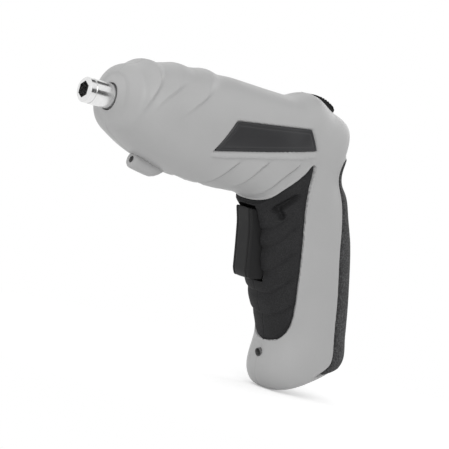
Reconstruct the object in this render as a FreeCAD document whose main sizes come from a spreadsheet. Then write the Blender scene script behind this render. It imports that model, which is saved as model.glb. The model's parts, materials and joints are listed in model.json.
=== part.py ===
"""Cordless electric screwdriver, pistol shaped, as an assembly of its separate pieces.

Origin at the mouth of the hex bit socket, on the spindle's axis. +X runs rearward along
the spindle, +Z is up and the handle hangs down and rakes rearward. All sizes in mm.
"""
import FreeCAD
import Part
import Sketcher
import math
import os

Vector = FreeCAD.Vector
Rotation = FreeCAD.Rotation
Placement = FreeCAD.Placement

# Driving dimensions
SIZES = {
    # bit socket and spindle
    "hex_across": 6.45,
    "hex_depth": 13.0,
    "collar_diameter": 11.0,
    "collar_length": 15.0,
    "collar_inset": 3.0,
    "collar_chamfer": 0.7,
    "collar_groove": 0.25,
    "collar_neck": 3.5,
    "magnet_diameter": 5.0,
    "magnet_length": 3.0,
    "journal_diameter": 8.0,
    "washer_thickness": 0.8,
    "bush_diameter": 12.0,
    "bush_length": 12.0,
    # gears
    "gear_module": 0.55,
    "gear_width": 6.0,
    "gear_gap": 0.4,
    "stage_gap": 1.0,
    "carrier_thickness": 2.6,
    "planet_pin_diameter": 3.0,
    "carrier_rim": 1.4,
    "ring_wall": 1.1,
    "case_wall": 1.5,
    "case_front_wall": 2.4,
    "case_chamfer": 2.0,
    "hub_wall": 2.5,
    # motor
    "motor_diameter": 27.7,
    "motor_length": 32.8,
    "motor_wall": 1.0,
    "motor_front_wall": 1.5,
    "motor_bush_wall": 1.6,
    "motor_shaft_diameter": 2.3,
    "motor_boss_diameter": 10.0,
    "motor_plate_thickness": 2.0,
    "motor_screw_spacing": 16.0,
    "motor_screw_diameter": 2.5,
    "magnet_thickness": 2.5,
    "air_gap": 0.8,
    "armature_length": 20.0,
    "commutator_diameter": 6.4,
    "end_cap_thickness": 3.0,
    # housing
    "wall": 2.4,
    "nose_radius": 10.8,
    "nose_dome": 40.0,
    "barrel_length": 84.0,
    "room_above_case": 2.6,
    "room_below_case": 6.4,
    "room_beside_case": 2.0,
    "crotch_radius": 10.7,
    "hump_rise": 8.4,
    "handle_rake": 17.0,
    "handle_front": 7.0,
    "foot_depth": 26.0,
    "rib_thickness": 2.0,
    "skin_depth": 1.4,
    "label_depth": 0.8,
    "label_round": 1.5,
    # trigger, rocker and switches
    "trigger_width": 12.0,
    "trigger_gap": 0.4,
    "trigger_round": 1.6,
    "pin_diameter": 2.5,
    "trigger_pin_seat": 2.4,
    "trigger_hub_wall": 1.7,
    "switch_width": 8.0,
    "rocker_length": 14.0,
    "rocker_width": 10.5,
    "rocker_gap": 0.65,
    "rocker_tilt": 9.0,
    "rocker_pin_depth": 3.4,
    "rocker_pin_seat": 2.6,
    "rocker_depth": 5.0,
    "rocker_foot": 5.2,
    "rocker_rim": 0.2,
    "rocker_camber": 1.0,
    "thumb_switch_length": 12.0,
    "thumb_switch_height": 7.0,
    "thumb_switch_gap": 1.5,
    "pin_boss_wall": 1.6,
    "spring_diameter": 4.2,
    "spring_wire": 0.5,
    "spring_length": 5.4,
    "plunger_diameter": 2.6,
    "plunger_gap": 0.3,
    # work light and charging
    "led_diameter": 5.0,
    "led_tilt": 9.0,
    "led_setback": 18.4,
    "led_rise": 3.2,
    "led_length": 6.0,
    "led_flange": 0.4,
    "led_lead_hole": 2.4,
    "led_boss_wall": 1.8,
    "led_boss_length": 12.5,
    "jack_diameter": 8.0,
    "jack_bore": 3.6,
    "jack_length": 6.6,
    "jack_setback": 5.6,
    "jack_contact": 1.2,
    "jack_room": 0.4,
    "board_thickness": 1.6,
    "board_drop": 2.6,
    "board_setback": 23.0,
    "board_length": 22.0,
    "board_width": 22.0,
    # cells
    "cell_diameter": 14.0,
    "cell_length": 49.0,
    "cell_gap": 0.2,
    "pack_drop": 9.0,
    "pack_setback": 20.2,
    "room_beside_pack": 1.9,
    "room_behind_pack": 5.2,
    "strap_thickness": 0.3,
    # fasteners
    "screw_diameter": 2.6,
    "screw_head": 5.4,
    "screw_head_height": 2.0,
    "screw_recess": 3.0,
    "screw_slot": 0.8,
    "screw_head_room": 0.3,
    "screw_length": 18.0,
    "screw_seat": 10.0,
    "boss_wall": 1.4,
    # fits
    "running_gap": 0.04,
    "axial_gap": 0.1,
    "seat_gap": 0.05,
}

# Tooth counts: they set the gear ratios, so they aren't lengths
SUN_TEETH = 9
PLANET_TEETH = 21
RING_TEETH = SUN_TEETH + 2 * PLANET_TEETH
PLANETS = 3
PRESSURE_ANGLE = math.radians(20.0)

doc = FreeCAD.newDocument("Screwdriver")
sheet = doc.addObject("Spreadsheet::Sheet", "Sizes")
for row, (alias, number) in enumerate(SIZES.items(), 1):
    sheet.set("A%d" % row, alias)
    sheet.set("B%d" % row, str(number))
    sheet.setAlias("B%d" % row, alias)
doc.recompute()


class Size:
    """A length or an angle: its number, and the expression that binds it to the sheet."""

    def __init__(self, value, text):
        self.value = value
        self.text = text

    @classmethod
    def of(cls, other):
        return other if isinstance(other, Size) else cls(float(other), repr(float(other)))

    def _join(self, other, sign, value):
        return Size(value, "(%s %s %s)" % (self.text, sign, other.text))

    def __add__(self, other):
        other = Size.of(other)
        return self._join(other, "+", self.value + other.value)

    def __sub__(self, other):
        other = Size.of(other)
        return self._join(other, "-", self.value - other.value)

    def __mul__(self, other):
        other = Size.of(other)
        return self._join(other, "*", self.value * other.value)

    def __truediv__(self, other):
        other = Size.of(other)
        return self._join(other, "/", self.value / other.value)

    def __radd__(self, other):
        return Size.of(other) + self

    def __rsub__(self, other):
        return Size.of(other) - self

    __rmul__ = __mul__

    def __float__(self):
        return self.value


def size(alias):
    """The sheet's value of one alias, with its expression."""
    return Size(float(sheet.get(alias)), "Sizes." + alias)


# Places along the spindle's axis, from the socket's mouth rearward
collar_radius = size("collar_diameter") / 2
journal_radius = size("journal_diameter") / 2
bush_radius = size("bush_diameter") / 2
nose_x = size("collar_length")
collar_end = nose_x + size("collar_inset")
washer_front = collar_end + size("axial_gap")
bush_front = washer_front + size("washer_thickness") + size("axial_gap")
bush_rear = bush_front + size("bush_length")
case_inside = bush_rear + size("axial_gap")
spindle_plate_front = case_inside + size("gear_gap")
spindle_plate_rear = spindle_plate_front + size("carrier_thickness")
stage_two_front = spindle_plate_rear + size("gear_gap")
stage_two_rear = stage_two_front + size("gear_width")
carrier_front = stage_two_rear + size("stage_gap")
carrier_rear = carrier_front + size("carrier_thickness")
stage_one_front = carrier_rear + size("gear_gap")
stage_one_rear = stage_one_front + size("gear_width")
case_rear = stage_one_rear + size("stage_gap")
motor_front = case_rear + size("motor_plate_thickness")
motor_rear = motor_front + size("motor_length")
end_cap_rear = motor_rear + size("end_cap_thickness")

# Radii of the gear train and of the motor
centre_distance = size("gear_module") * ((SUN_TEETH + PLANET_TEETH) / 2)
planet_pin_radius = size("planet_pin_diameter") / 2
carrier_radius = centre_distance + planet_pin_radius + size("carrier_rim")
ring_root = size("gear_module") * (RING_TEETH / 2 + 1.1)
ring_radius = ring_root + size("ring_wall")
case_radius = ring_radius + size("case_wall")
hub_radius = bush_radius + size("hub_wall")
motor_radius = size("motor_diameter") / 2
can_bore = motor_radius - size("motor_wall")
shaft_radius = size("motor_shaft_diameter") / 2
armature_radius = can_bore - size("seat_gap") - size("magnet_thickness") - size("air_gap")
motor_bush_radius = shaft_radius + size("motor_bush_wall")

# The barrel is sized round the gear case, the handle round the cells
barrel_shell = case_radius + size("wall")
barrel_rise = float(barrel_shell + size("room_above_case"))
barrel_drop = float(barrel_shell + size("room_below_case"))
barrel_half_width = float(barrel_shell + size("room_beside_case"))
pack_half = size("cell_diameter") + size("cell_gap") / 2
pack_middle = float(size("pack_setback") + pack_half)
handle_half_width = float(pack_half + size("wall") + size("room_beside_pack"))
handle_front = float(size("handle_front"))
handle_back = float(size("pack_setback") + pack_half * 2 + size("wall") + size("room_behind_pack"))
pack_top = float(size("pack_drop"))
pack_bottom = float(size("pack_drop") + size("cell_length"))
foot = pack_bottom + float(size("foot_depth"))

# The pivot: the line across the body that the barrel's sections fan around into the handle
PIVOT_X = float(nose_x + size("barrel_length"))
PIVOT_Z = -(barrel_drop + float(size("crotch_radius")))
hump_radius = barrel_rise - PIVOT_Z + float(size("hump_rise"))
RAKE = math.radians(float(size("handle_rake")))
FAR = 60.0


def make(kind, name):
    """Adds an object of one kind to the document, labelled by its name."""
    item = doc.addObject(kind, name)
    item.Label = name
    return item


def feature(name, shape):
    """A sub-part whose shape is worked out here from the sheet's sizes."""
    item = make("Part::Feature", name)
    item.Shape = shape
    return item


# Sketched bodies


def origin_plane(body, role):
    """One of the body's own origin planes."""
    return [plane for plane in body.Origin.OriginFeatures if plane.Role == role][0]


def sketch_on(body, role, name):
    """A sketch attached to one of the body's origin planes."""
    sketch = body.newObject("Sketcher::SketchObject", name)
    sketch.AttachmentSupport = [(origin_plane(body, role), "")]
    sketch.MapMode = "FlatFace"
    return sketch


def draw_polygon(sketch, points):
    """A closed polygon whose corners are held by sizes measured from the sketch's origin."""
    corners = [(Size.of(across), Size.of(up)) for across, up in points]
    count = len(corners)
    for index in range(count):
        start = corners[index]
        end = corners[(index + 1) % count]
        segment = Part.LineSegment(
            Vector(start[0].value, start[1].value, 0), Vector(end[0].value, end[1].value, 0)
        )
        sketch.addGeometry(segment, False)
    for index in range(count):
        joint = Sketcher.Constraint("Coincident", index, 2, (index + 1) % count, 1)
        sketch.addConstraint(joint)
    for index, corner in enumerate(corners):
        for kind, axis, place in (("DistanceX", -2, corner[0]), ("DistanceY", -1, corner[1])):
            if place.value == 0.0:
                sketch.addConstraint(Sketcher.Constraint("PointOnObject", index, 1, axis))
                continue
            held = sketch.addConstraint(Sketcher.Constraint(kind, -1, 1, index, 1, place.value))
            sketch.setExpression("Constraints[%d]" % held, place.text)


def draw_circle(sketch, across, up, radius):
    """A circle held by its centre and its radius."""
    across, up, radius = Size.of(across), Size.of(up), Size.of(radius)
    circle = sketch.addGeometry(
        Part.Circle(Vector(across.value, up.value, 0), Vector(0, 0, 1), radius.value), False
    )
    for kind, axis, place in (("DistanceX", -2, across), ("DistanceY", -1, up)):
        if place.value == 0.0:
            sketch.addConstraint(Sketcher.Constraint("PointOnObject", circle, 3, axis))
            continue
        held = sketch.addConstraint(Sketcher.Constraint(kind, -1, 1, circle, 3, place.value))
        sketch.setExpression("Constraints[%d]" % held, place.text)
    held = sketch.addConstraint(Sketcher.Constraint("Radius", circle, radius.value))
    sketch.setExpression("Constraints[%d]" % held, radius.text)


def turned(name, profile):
    """A body turned about X: the profile holds (place along the axis, radius) corners."""
    body = make("PartDesign::Body", name)
    sketch = sketch_on(body, "XZ_Plane", name + "_profile")
    draw_polygon(sketch, profile)
    turn = body.newObject("PartDesign::Revolution", name + "_turn")
    turn.Profile = sketch
    turn.ReferenceAxis = (sketch, ["H_Axis"])
    turn.Angle = 360.0
    sketch.Visibility = False
    doc.recompute()
    return body


def tube(name, start, end, inner, outer):
    """A turned ring between two places on the axis."""
    return turned(name, [(start, inner), (end, inner), (end, outer), (start, outer)])


def sunk(body, sketch, name, depth):
    """A pocket from the sketch's plane rearward, checked to have cut something."""
    before = body.Shape.Volume
    cut = body.newObject("PartDesign::Pocket", name)
    cut.Profile = sketch
    cut.Reversed = True
    cut.setExpression("Length", Size.of(depth).text)
    doc.recompute()
    if body.Shape.Volume >= before:
        raise RuntimeError(name + " cuts nothing")
    return cut


# Solids worked out in code


def side_point(x, z, y=0.0):
    return Vector(float(x), float(y), float(z))


def on_handle(down, back):
    """A point of the mid-plane: so far down the handle's axis and so far back across it."""
    x = PIVOT_X + down * math.sin(RAKE) + back * math.cos(RAKE)
    z = PIVOT_Z - down * math.cos(RAKE) + back * math.sin(RAKE)
    return x, z


def rod(start, end, radius):
    """A cylinder between two points."""
    axis = end - start
    return Part.makeCylinder(float(radius), axis.Length, start, axis)


def cross_rod(x, z, radius, low, high):
    """A cylinder across the body, along Y."""
    return rod(side_point(x, z, low), side_point(x, z, high), radius)


def axis_rod(start, end, radius):
    """A cylinder on the spindle's axis."""
    return rod(Vector(float(start), 0, 0), Vector(float(end), 0, 0), radius)


def slab(x_low, x_high):
    """A plate square to the spindle, wider than the body."""
    return Part.makeBox(float(x_high) - float(x_low), 2 * FAR, 4 * FAR, Vector(float(x_low), -FAR, -2 * FAR))


def handle_placement():
    """Turns X to run back across the handle and -Z to run down its axis, from the pivot."""
    turn = Rotation(Vector(0, 1, 0), -float(size("handle_rake")))
    return Placement(side_point(PIVOT_X, PIVOT_Z), turn)


def handle_box(down, back, half_width):
    """A box set square to the handle: spans down its axis, back across it and over its width."""
    box = Part.makeBox(
        back[1] - back[0], 2 * half_width, down[1] - down[0], Vector(back[0], -half_width, -down[1])
    )
    box.Placement = handle_placement()
    return box


def half_space(side):
    """Everything on one side of the mid-plane, -1 the left and +1 the right."""
    low = -FAR if side < 0 else 0.0
    return Part.makeBox(6 * FAR, FAR, 6 * FAR, Vector(-FAR, low, -3 * FAR))


def spline(points):
    curve = Part.BSplineCurve()
    curve.interpolate([side_point(x, z) for x, z in points])
    return curve.toShape()


def prism(runs):
    """A solid across the whole width from side-view runs: two points a line, more a curve."""
    edges = []
    for run in runs:
        if len(run) == 2:
            edges.append(Part.makeLine(side_point(*run[0]), side_point(*run[1])))
        else:
            edges.append(spline(run))
    face = Part.Face(Part.Wire(edges))
    face.translate(Vector(0, -FAR, 0))
    return face.extrude(Vector(0, 2 * FAR, 0))


def corner_prism(corners):
    """A solid across the whole width from a side-view polygon."""
    pairs = zip(corners, corners[1:] + corners[:1])
    return prism([[start, end] for start, end in pairs])


def joined(shapes):
    return shapes[0].multiFuse(shapes[1:]) if len(shapes) > 1 else shapes[0]


# The body's sections

SECTION_POINTS = 28
BARREL_ROUNDNESS = 2.25
FAN_ROUNDNESS = 2.35
HANDLE_ROUNDNESS = 2.5
DOME_ROUNDNESS = (2.2, 1.5, 2.5)
DOME_STEPS = (0.0, 0.05, 0.13, 0.28, 0.55, 1.0)


def section(x, z, angle, front, back, half_width, roundness):
    """A closed superellipse in the plane through (x, z) that rises at an angle from +X."""
    middle = (front + back) / 2
    reach = (back - front) / 2
    direction = Vector(math.cos(angle), 0, math.sin(angle))
    points = []
    for index in range(SECTION_POINTS):
        turn = 2 * math.pi * (index + 0.5) / SECTION_POINTS
        along = math.copysign(abs(math.cos(turn)) ** (2 / roundness), math.cos(turn))
        across = math.copysign(abs(math.sin(turn)) ** (2 / roundness), math.sin(turn))
        point = side_point(x, z, half_width * across) + direction * (middle + reach * along)
        points.append(point)
    return points


def barrel_sections(inset):
    """Upright sections from the nose to the pivot, domed at the nose."""
    nose = float(size("nose_radius"))
    dome = float(size("nose_dome"))
    stations = []
    for step in DOME_STEPS:
        radii = []
        for full, power in zip((barrel_rise, barrel_drop - 0.5, barrel_half_width), DOME_ROUNDNESS):
            radii.append(nose + (full - nose) * (1 - (1 - step) ** power) ** (1 / power))
        stations.append((float(nose_x) + inset * (1 - step) + dome * step, radii))
    stations.append((PIVOT_X - 21.0, [barrel_rise, barrel_drop + 0.2, barrel_half_width]))
    rings = []
    for x, (up, down, half_width) in stations:
        front = -down + inset - PIVOT_Z
        back = up - inset - PIVOT_Z
        rings.append(section(x, PIVOT_Z, math.pi / 2, front, back, half_width - inset, BARREL_ROUNDNESS))
    return rings


def fan_sections(inset):
    """Sections through the pivot, from upright round to square with the handle."""
    top = barrel_rise - PIVOT_Z
    hump = hump_radius
    front = handle_front
    back = handle_back
    wide = barrel_half_width
    narrow = handle_half_width
    fan = (
        (90.0, front + 2.2, top - 0.4, wide - 0.5),
        (81.0, front + 0.6, top + 1.5, wide - 1.2),
        (75.5, front + 0.1, hump - 3.0, wide - 1.7),
        (69.0, front - 0.2, hump - 2.4, wide - 2.3),
        (62.0, front - 0.5, hump - 2.3, narrow + 0.1),
        (53.0, front - 0.9, hump - 1.2, narrow - 0.6),
        (44.0, front - 1.3, back + 2.6, narrow - 1.2),
        (34.0, front - 1.5, back - 3.8, narrow - 1.2),
        (25.0, front - 1.4, back - 2.1, narrow - 0.8),
    )
    rings = []
    for degrees, inner, outer, half_width in fan:
        angle = math.radians(degrees)
        rings.append(
            section(PIVOT_X, PIVOT_Z, angle, inner + inset, outer - inset, half_width - inset, FAN_ROUNDNESS)
        )
    return rings


def handle_sections(inset):
    """Sections down the handle to the foot, whose sole slopes up towards the rear."""
    front = handle_front
    back = handle_back
    width = handle_half_width
    handle = (
        (0.0, 0.0, front - 1.0, back - 1.8, width - 0.4),
        (14.7, 0.0, front - 0.6, back, width + 0.1),
        (foot - 53.0, 0.0, front + 0.5, back + 0.2, width),
        (foot - 40.0, 0.0, front + 4.0, back - 0.2, width - 0.5),
        (foot - 31.0, 0.0, front + 6.4, back - 0.8, width - 0.9),
        (foot - 22.5, 0.0, front + 4.6, back - 1.6, width - 0.7),
        (foot - 14.0 - inset * 0.2, 2.0, front + 2.2, back - 2.8, width - 0.6),
        (foot - 7.0 - inset * 0.6, 5.5, front + 2.9, back - 4.8, width - 1.2),
        (foot - 2.2 - inset * 0.9, 9.0, front + 7.0, back - 9.4, width - 3.6),
        (foot - inset, 11.0, front + 13.4, back - 18.0, width - 8.4),
    )
    rings = []
    for down, tilt, inner, outer, half_width in handle:
        x, z = on_handle(down, 0.0)
        angle = RAKE + math.radians(tilt)
        rings.append(section(x, z, angle, inner + inset, outer - inset, half_width - inset, HANDLE_ROUNDNESS))
    return rings


def fitted_curve(points, parameters, closed):
    curve = Part.BSplineCurve()
    curve.interpolate(Points=points, PeriodicFlag=closed, Parameters=parameters)
    return curve


def skinned_solid(rings):
    """A closed solid whose side passes smoothly through rings of points, with flat ends."""
    count = len(rings[0])
    around = [float(index) for index in range(count + 1)]
    hoops = [fitted_curve(ring, around, True) for ring in rings]
    middles = [sum(ring, Vector()) / count for ring in rings]
    along = [0.0]
    for start, end in zip(middles, middles[1:]):
        along.append(along[-1] + (end - start).Length)
    staves = []
    for index in range(1, hoops[0].NbPoles + 1):
        staves.append(fitted_curve([hoop.getPole(index) for hoop in hoops], along, False))
    hoop = hoops[0]
    stave = staves[0]
    poles = [[line.getPole(index) for line in staves] for index in range(1, stave.NbPoles + 1)]
    surface = Part.BSplineSurface()
    surface.buildFromPolesMultsKnots(
        poles, stave.getMultiplicities(), hoop.getMultiplicities(), stave.getKnots(), hoop.getKnots(),
        False, True, stave.Degree, hoop.Degree,
    )
    ends = [Part.Face(Part.Wire(surface.uIso(place).toShape())) for place in (along[0], along[-1])]
    shell = Part.makeShell([surface.toShape()] + ends)
    shell.sewShape()
    solid = Part.Solid(shell)
    if solid.Volume < 0:
        solid.reverse()
    return solid


BODY_SOLIDS = {}


def body_solid(inset):
    """The whole body as one smooth solid, drawn in by an inset."""
    if inset not in BODY_SOLIDS:
        BODY_SOLIDS[inset] = skinned_solid(barrel_sections(inset) + fan_sections(inset) + handle_sections(inset))
    return BODY_SOLIDS[inset].copy()


def skin(region, depth, side):
    """The part of the body's outer layer that lies inside a side-view region."""
    return body_solid(0.0).common(region).common(half_space(side)).cut(body_solid(depth))


# Gears


def tooth_outline(teeth, addendum, dedendum, fill):
    """The outline of a spur gear in the YZ plane, a tooth centred on +Y, involute flanks."""
    module = float(size("gear_module"))
    pitch = module * teeth / 2
    base = pitch * math.cos(PRESSURE_ANGLE)
    root = pitch - dedendum * module
    tip = pitch + addendum * module
    start = max(root, base)
    radii = [root] + [start + (tip - start) * step for step in (0.02, 0.5, 1.0)]

    def half_angle(radius):
        pressure = math.acos(min(1.0, base / radius))
        spread = math.tan(PRESSURE_ANGLE) - PRESSURE_ANGLE - math.tan(pressure) + pressure
        return fill * math.pi / (2 * teeth) + spread

    points = []
    for tooth in range(teeth):
        middle = 2 * math.pi * tooth / teeth
        flank = [(radius, half_angle(max(radius, base))) for radius in radii]
        for radius, half in flank:
            points.append((radius, middle - half))
        for radius, half in reversed(flank):
            points.append((radius, middle + half))
    corners = [Vector(0, radius * math.cos(angle), radius * math.sin(angle)) for radius, angle in points]
    return Part.Face(Part.makePolygon(corners + corners[:1]))


def spur(teeth, start, end, addendum, dedendum=1.25, fill=0.9):
    """A spur gear on the spindle's axis."""
    outline = tooth_outline(teeth, addendum, dedendum, fill)
    outline.translate(Vector(float(start), 0, 0))
    return outline.extrude(Vector(float(end) - float(start), 0, 0))


def around_axis(shape, index):
    """A copy turned about the spindle's axis to one of the planets' places."""
    turned_shape = shape.copy()
    turned_shape.rotate(Vector(0, 0, 0), Vector(1, 0, 0), 360.0 * index / PLANETS)
    return turned_shape


# Spindle group


def make_spindle():
    """The collar with its hex socket, its journal and the second stage's planet carrier."""
    groove = size("collar_groove")
    chamfer = size("collar_chamfer")
    groove_front = chamfer * 4
    groove_rear = chamfer * 5
    spindle = turned("spindle", [
        (0, 0),
        (0, collar_radius - chamfer),
        (chamfer, collar_radius),
        (groove_front, collar_radius),
        (groove_front, collar_radius - groove),
        (groove_rear, collar_radius - groove),
        (groove_rear, collar_radius),
        (collar_end - size("collar_neck"), collar_radius),
        (collar_end - size("collar_neck"), collar_radius - groove),
        (collar_end, collar_radius - groove),
        (collar_end, journal_radius),
        (spindle_plate_front, journal_radius),
        (spindle_plate_front, carrier_radius),
        (spindle_plate_rear, carrier_radius),
        (spindle_plate_rear, 0),
    ])
    hexagon = sketch_on(spindle, "YZ_Plane", "socket_hexagon")
    flat = size("hex_across") / 2
    corner = size("hex_across") / math.sqrt(3)
    draw_polygon(hexagon, [
        (0, corner),
        (flat, corner / 2),
        (flat, corner / -2),
        (0, corner * -1),
        (flat * -1, corner / -2),
        (flat * -1, corner / 2),
    ])
    sunk(spindle, hexagon, "socket", size("hex_depth"))
    pocket = sketch_on(spindle, "YZ_Plane", "magnet_circle")
    draw_circle(pocket, 0, 0, size("magnet_diameter") / 2)
    sunk(spindle, pocket, "magnet_pocket", size("hex_depth") + size("magnet_length"))
    hole = sketch_on(spindle, "YZ_Plane", "pin_circle")
    draw_circle(hole, centre_distance, 0, planet_pin_radius)
    bore = sunk(spindle, hole, "pin_hole", spindle_plate_rear + 1)
    pattern = spindle.newObject("PartDesign::PolarPattern", "pin_holes")
    pattern.Originals = [bore]
    pattern.Axis = (hole, ["N_Axis"])
    pattern.Angle = 360.0
    pattern.Occurrences = PLANETS
    spindle.Tip = pattern
    doc.recompute()
    return spindle


def make_spindle_fittings():
    magnet_end = size("hex_depth") + size("magnet_length")
    magnet_radius = size("magnet_diameter") / 2 - size("seat_gap")
    turned("socket_magnet", [
        (size("hex_depth"), 0),
        (size("hex_depth"), magnet_radius),
        (magnet_end, magnet_radius),
        (magnet_end, 0),
    ])
    bearing = journal_radius + size("running_gap")
    washer_rear = washer_front + size("washer_thickness")
    tube("thrust_washer", washer_front, washer_rear, bearing, bush_radius)
    tube("spindle_bush", bush_front, bush_rear, bearing, bush_radius)


def make_gear_case():
    wall_front = case_inside - size("case_front_wall")
    turned("gear_case", [
        (bush_front, bush_radius),
        (bush_front, hub_radius),
        (wall_front, hub_radius),
        (wall_front, case_radius - size("case_chamfer")),
        (wall_front + size("case_chamfer"), case_radius),
        (case_rear, case_radius),
        (case_rear, ring_radius),
        (case_inside, ring_radius),
        (case_inside, bush_radius),
    ])
    ring_front = float(stage_two_front) - float(size("gear_gap")) / 2
    ring_rear = float(case_rear) - float(size("axial_gap"))
    ring = axis_rod(ring_front, ring_rear, float(ring_radius) - float(size("seat_gap")))
    teeth = spur(RING_TEETH, ring_front - 1, ring_rear + 1, 1.1, 0.8, 1.1)
    feature("ring_gear", ring.cut(teeth))


def make_planets(stage, start, plate_front):
    """Three planet gears on their pins."""
    bore = float(planet_pin_radius) + float(size("running_gap"))
    offset = Vector(0, float(centre_distance), 0)
    end = start + size("gear_width")
    planet = spur(PLANET_TEETH, start, end, 0.6).cut(axis_rod(float(start) - 1, float(end) + 1, bore))
    # A space faces the sun and a tooth the ring
    planet.translate(offset)
    for index, letter in enumerate("abc"):
        feature("planet_%s_%s" % (stage, letter), around_axis(planet, index))
    pin = axis_rod(plate_front, end + size("gear_gap"), planet_pin_radius)
    pin.translate(offset)
    feature("planet_pins_" + stage, Part.makeCompound([around_axis(pin, n) for n in range(PLANETS)]))


def make_carrier():
    """The first stage's planet carrier with the second stage's sun gear on its front."""
    plate = axis_rod(carrier_front, carrier_rear, carrier_radius)
    for index in range(PLANETS):
        hole = axis_rod(float(carrier_front) - 1, float(carrier_rear) + 1, planet_pin_radius)
        hole.translate(Vector(0, float(centre_distance), 0))
        plate = plate.cut(around_axis(hole, index))
    sun = spur(SUN_TEETH, stage_two_front, float(carrier_front) + 0.5, 0.9)
    feature("carrier_one", plate.fuse(sun).removeSplitter())


# Motor


def make_motor():
    boss_radius = size("motor_boss_diameter") / 2
    front_wall = motor_front + size("motor_front_wall")
    can = turned("motor_can_blank", [
        (case_rear, motor_bush_radius),
        (case_rear, boss_radius),
        (motor_front, boss_radius),
        (motor_front, motor_radius),
        (motor_rear, motor_radius),
        (motor_rear, can_bore),
        (front_wall, can_bore),
        (front_wall, motor_bush_radius),
    ])
    plate = tube(
        "motor_plate_blank", case_rear, motor_front, boss_radius + size("seat_gap"), case_radius
    )
    screws = []
    screw_holes = []
    spacing = float(size("motor_screw_spacing")) / 2
    shank = float(size("motor_screw_diameter")) / 2
    head_depth = 0.6 * float(size("motor_plate_thickness"))
    for side in (-1, 1):
        start = Vector(float(case_rear), 0, side * spacing)
        end = start + Vector(float(front_wall - case_rear) + 1.0, 0, 0)
        cone = Part.makeCone(2 * shank, shank, head_depth, start, Vector(1, 0, 0))
        screws.append(rod(start, end, shank).fuse(cone).removeSplitter())
        gap = float(size("seat_gap"))
        wide_cone = Part.makeCone(2 * shank + gap, shank + gap, head_depth, start, Vector(1, 0, 0))
        screw_holes.append(rod(start, end + Vector(1, 0, 0), shank + gap).fuse(wide_cone))
    holes = make("Part::Feature", "motor_screw_holes")
    holes.Shape = Part.makeCompound(screw_holes)
    for name, blank in (("motor_can", can), ("motor_plate", plate)):
        cut = make("Part::Cut", name)
        cut.Base = blank
        cut.Tool = holes
    feature("motor_screws", Part.makeCompound(screws))

    magnet_radius = can_bore - size("seat_gap")
    magnet_front = float(front_wall) + 3.0
    magnet_rear = magnet_front + float(size("armature_length"))
    ring = axis_rod(magnet_front, magnet_rear, magnet_radius)
    ring = ring.cut(axis_rod(magnet_front, magnet_rear, magnet_radius - size("magnet_thickness")))
    slot_half = float(motor_radius) * 0.45
    slot = Part.makeBox(
        FAR, 2 * slot_half, 2 * FAR, Vector(magnet_front - 1, -slot_half, -FAR)
    )
    feature("motor_magnets", ring.cut(slot))
    return magnet_front, magnet_rear


def make_rotor(core_front, core_rear):
    """The shaft, the five-slot core and the commutator turn together with the pinion."""
    shaft_front = stage_one_front
    shaft_rear = end_cap_rear + 1.0
    turned("rotor_shaft", [
        (shaft_front, 0),
        (shaft_front, shaft_radius),
        (shaft_rear, shaft_radius),
        (shaft_rear, 0),
    ])
    pinion = spur(SUN_TEETH, stage_one_front, case_rear - size("gear_gap"), 0.9)
    feature("motor_pinion", pinion.cut(axis_rod(stage_one_front, case_rear, shaft_radius)))
    core = axis_rod(core_front, core_rear, armature_radius)
    slots = 5
    slot_width = float(armature_radius) * 0.22
    slot_floor = float(armature_radius) * 0.5
    slot = Part.makeBox(
        core_rear - core_front + 2, FAR, slot_width, Vector(core_front - 1, slot_floor, -slot_width / 2)
    )
    for index in range(slots):
        cutter = slot.copy()
        cutter.rotate(Vector(0, 0, 0), Vector(1, 0, 0), 360.0 * index / slots)
        core = core.cut(cutter)
    feature("armature", core.cut(axis_rod(core_front - 1, core_rear + 1, shaft_radius)))
    commutator_front = core_rear + 1.0
    commutator_rear = float(motor_rear) - 0.5
    commutator_radius = size("commutator_diameter") / 2
    tube("commutator", commutator_front, commutator_rear, shaft_radius, commutator_radius)
    brush_width = commutator_rear - commutator_front - 1.0
    brushes = []
    for side in (-1, 1):
        low = float(commutator_radius) + float(size("seat_gap"))
        high = float(can_bore) - 0.6
        start = low if side > 0 else -high
        brushes.append(Part.makeBox(
            brush_width, 3.0, high - low, Vector(commutator_front + 0.5, -1.5, start)
        ))
    feature("motor_brushes", Part.makeCompound(brushes))


def make_motor_ends():
    """The rear cap and the two plain bushes that the rotor turns in."""
    bush = motor_bush_radius
    tube("motor_end_cap", motor_rear, end_cap_rear, bush, motor_radius)
    bearing = shaft_radius + size("running_gap")
    front_end = motor_front + size("motor_front_wall")
    front = tube("front_bush", case_rear, front_end, bearing, bush)
    rear = tube("rear_bush", motor_rear, end_cap_rear, bearing, bush)
    pair = make("Part::Compound", "shaft_bushes")
    pair.Links = [front, rear]


# Places inside the handle, as spans down its axis and back across it
TRIGGER_BACK = handle_front + float(size("wall"))
TRIGGER_PIN = (PIVOT_X + 10.5, PIVOT_Z + 8.7)
SWITCH_DOWN = (3.0, 15.0)
SWITCH_BACK = (TRIGGER_BACK + 3.6, float(size("pack_setback")) - 0.4)
TRIGGER_PIN_SEAT = float(size("trigger_pin_seat"))
PLUNGER_DOWN = 9.0
SPRING_DOWN = 21.5
SPRING_TURNS = 5
JACK_DOWN = pack_bottom + 5.0
JACK_FRONT = handle_front + float(size("jack_setback")) + float(size("wall"))


def cell_rod(across, back, clearance=0.0):
    """One cell of the pack, set along the handle, grown by a clearance."""
    radius = float(size("cell_diameter")) / 2
    length = float(size("cell_length"))
    cell = Part.makeCylinder(
        radius + clearance, length + 2 * clearance, Vector(back, across, -pack_top + clearance), Vector(0, 0, -1)
    )
    cell.Placement = handle_placement().multiply(cell.Placement)
    return cell


def cell_places():
    step = (float(size("cell_diameter")) + float(size("cell_gap"))) / 2
    return [(side * step, pack_middle + row * step) for row in (-1, 1) for side in (-1, 1)]


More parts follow.
